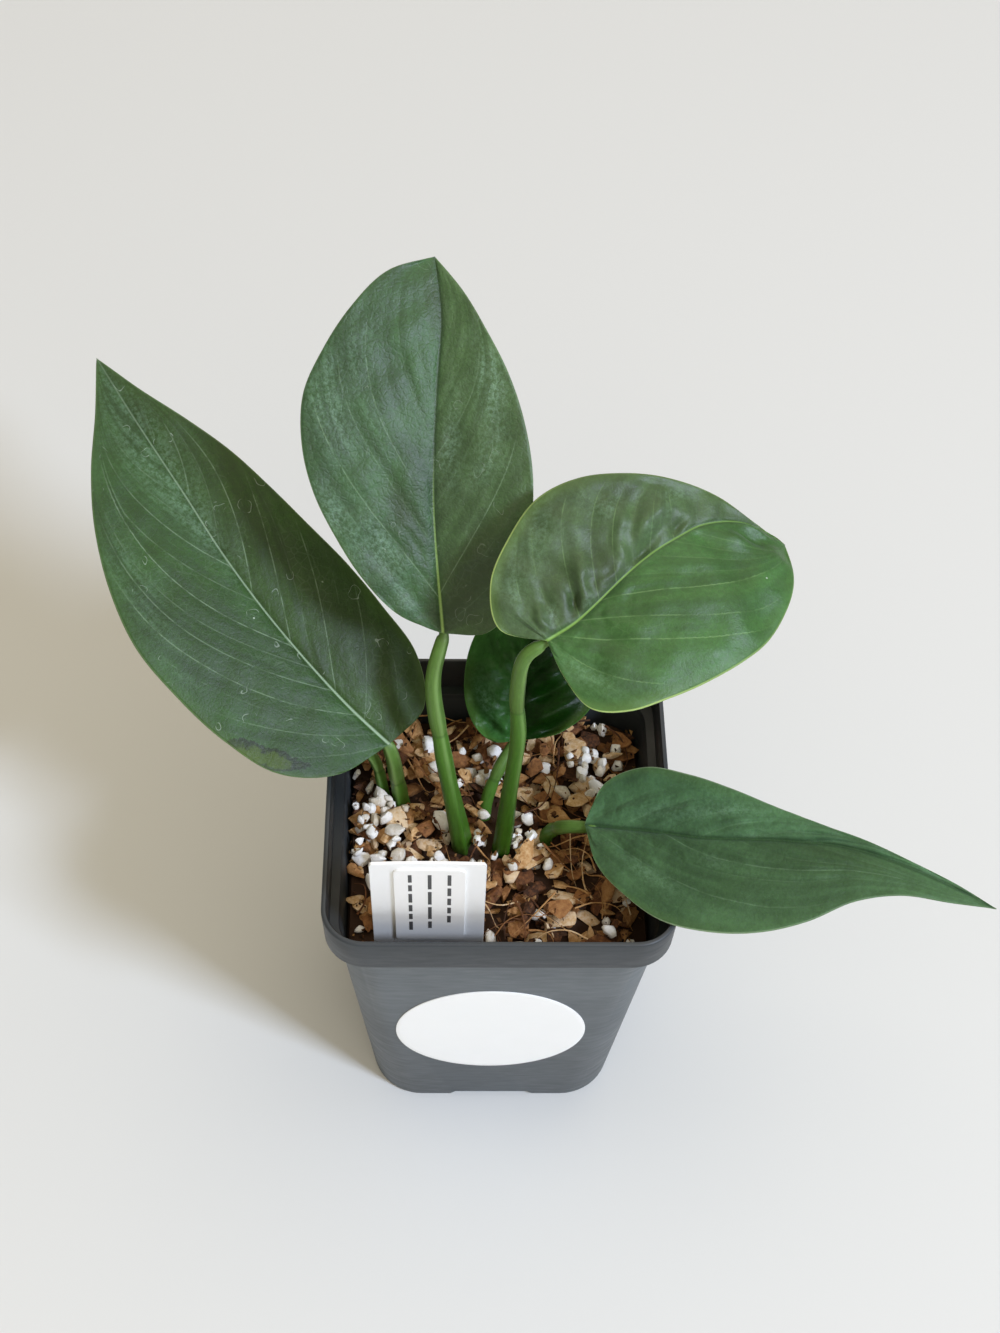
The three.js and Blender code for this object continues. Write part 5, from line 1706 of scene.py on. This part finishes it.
vinyl = sheet_material("white_vinyl", "fbfbf9", "f3f4f2", 0.38, 1.2, 0.15)
label_paper = sheet_material("coated_label_paper", "fdfcf9", "f7f6f3", 0.5, 0.5, 0.0)
sticker_paper = sheet_material("coated_sticker_paper", "fcfcfa", "f7f8f6", 0.45, 0.5, 0.0)
ink, node = new_material("printing_ink")
soft = node("TexNoise", {"Scale": 1 / (0.8 * MM), "Detail": 2.0})
grey = node("Mix", {0: soft, 6: linear("3a3a3a"), 7: linear("5a5a5a")}, **COLOUR)
surface = node("BsdfPrincipled", {"Base Color": grey, "Roughness": 0.6})
node("OutputMaterial", [surface])
print("materials in all:", len(bpy.data.materials))

# %% [markdown]
# Tag and label are grids of points on the same curled, leaning surface, so the label follows the tag's
# curl. Both are closed into thin solids with the helper that made the leaves.

# %% Stand the tag
TAG_CORNER, TAG_RIM = 0.4, 0.12  # the radius of its corners, and how far its edge bulges
LABEL_CORNER, LABEL_RIM = 1.5, 0.03
across, drop = card_grid(TAG_WIDTH, TAG_LENGTH, TAG_CORNER, TAG_POINT)
face, back = (on_tag(across, drop, front) for front in (TAG_THICKNESS / 2, -TAG_THICKNESS / 2))
points, faces, _, _ = thin_solid(face, back, TAG_RIM)
make_piece("vinyl_tag", points, faces, [vinyl], "tag", crease=60)

across, drop = card_grid(LABEL_WIDTH, LABEL_LENGTH, LABEL_CORNER)
face, back = (on_tag(across + LABEL_SHIFT, drop + LABEL_DROP, front)
              for front in (LABEL_FRONT + LABEL_THICKNESS, TAG_THICKNESS / 2))
points, faces, _, _ = thin_solid(face, back, LABEL_RIM)
make_piece("tag_paper", points, faces, [label_paper], "tag_label", crease=60)

# %% [markdown]
# The dashes lie a few hundredths of a millimetre above the paper. That keeps them clear of its surface in
# every view, where an image would need a file of its own.

# %% Print dashes on the label
DASH_ROWS = (-4.7, 0.0, 4.7)
DASH_WIDTH = 0.9
DASH_GAP = 1.6
PRINT_LIFT = 0.03
PRINT_TOP = LABEL_DROP + 2.6
PRINT_END = LABEL_DROP + LABEL_LENGTH - 11
dash_random = random.Random(4)
dash_points, dash_faces = [], []
for row in DASH_ROWS:
    place = PRINT_TOP
    while place < PRINT_END:
        long = dash_random.uniform(3, 9)
        sides = np.array([(-1, 0), (1, 0), (1, 1), (-1, 1)], float)
        corner = on_tag(LABEL_SHIFT + row + sides[:, 0] * DASH_WIDTH / 2, place + sides[:, 1] * long,
                        LABEL_FRONT + LABEL_THICKNESS + PRINT_LIFT)
        dash_faces.append([len(dash_points) + n for n in range(4)])
        dash_points.extend(corner.tolist())
        place += long + DASH_GAP
make_piece("label_dashes", dash_points, dash_faces, [ink], "")

# %% [markdown]
# The sticker lies flat on the pot's tapered front. It is lofted from rings on that slanted plane, out
# from its middle over the face, round its edge and back underneath, and its edge is a little rounded, as
# a punched label's is.

# %% Stick the round sticker on
STICKER_RADIUS = 25.4
STICKER_FACE = 0.3  # how far its face and its back lie off the wall
STICKER_BACK = 0.02
STICKER_CENTRE = (-1.2, 48.0)
STICKER_SIDES = 160
wall_tilt = math.atan2(BODY_TOP_HALF - BASE_HALF, LEDGE)
wall_y = -(BASE_HALF + (BODY_TOP_HALF - BASE_HALF) * STICKER_CENTRE[1] / LEDGE)
outward = np.array([0, -math.cos(wall_tilt), -math.sin(wall_tilt)])
upward = np.array([0, -math.sin(wall_tilt), math.cos(wall_tilt)])
middle = np.array([STICKER_CENTRE[0], wall_y, STICKER_CENTRE[1]])
turn = np.linspace(0, 2 * math.pi, STICKER_SIDES, endpoint=False)
rings = []
# each ring's radius, and how far it lies off the wall
for radius, lift in (
        (0.5, STICKER_FACE), (12, STICKER_FACE), (24, STICKER_FACE), (STICKER_RADIUS - 0.2, 0.29),
        (STICKER_RADIUS, 0.22), (STICKER_RADIUS, STICKER_BACK), (12, STICKER_BACK), (0.5, STICKER_BACK)):
    flat = [math.cos(a) * np.array([1, 0, 0]) + math.sin(a) * upward for a in turn]
    rings.append([middle + radius * way + lift * outward for way in flat])
make_piece("paper_sticker", np.array(rings).reshape(-1, 3), tube_faces(len(rings), len(turn)),
           [sticker_paper], "pot_sticker", crease=50)

# %% [markdown]
# ## Measure and finish
#
# The dressed plant is built from the imported model's sizes, and both boxes are printed side by side.

# %% Compare the sizes and finish
visual_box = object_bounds()
for name, box in (("packed", cad_box), ("dressed", visual_box)):
    print(name, "box in mm:", [round(side / MM, 1) for corner in box for side in corner])
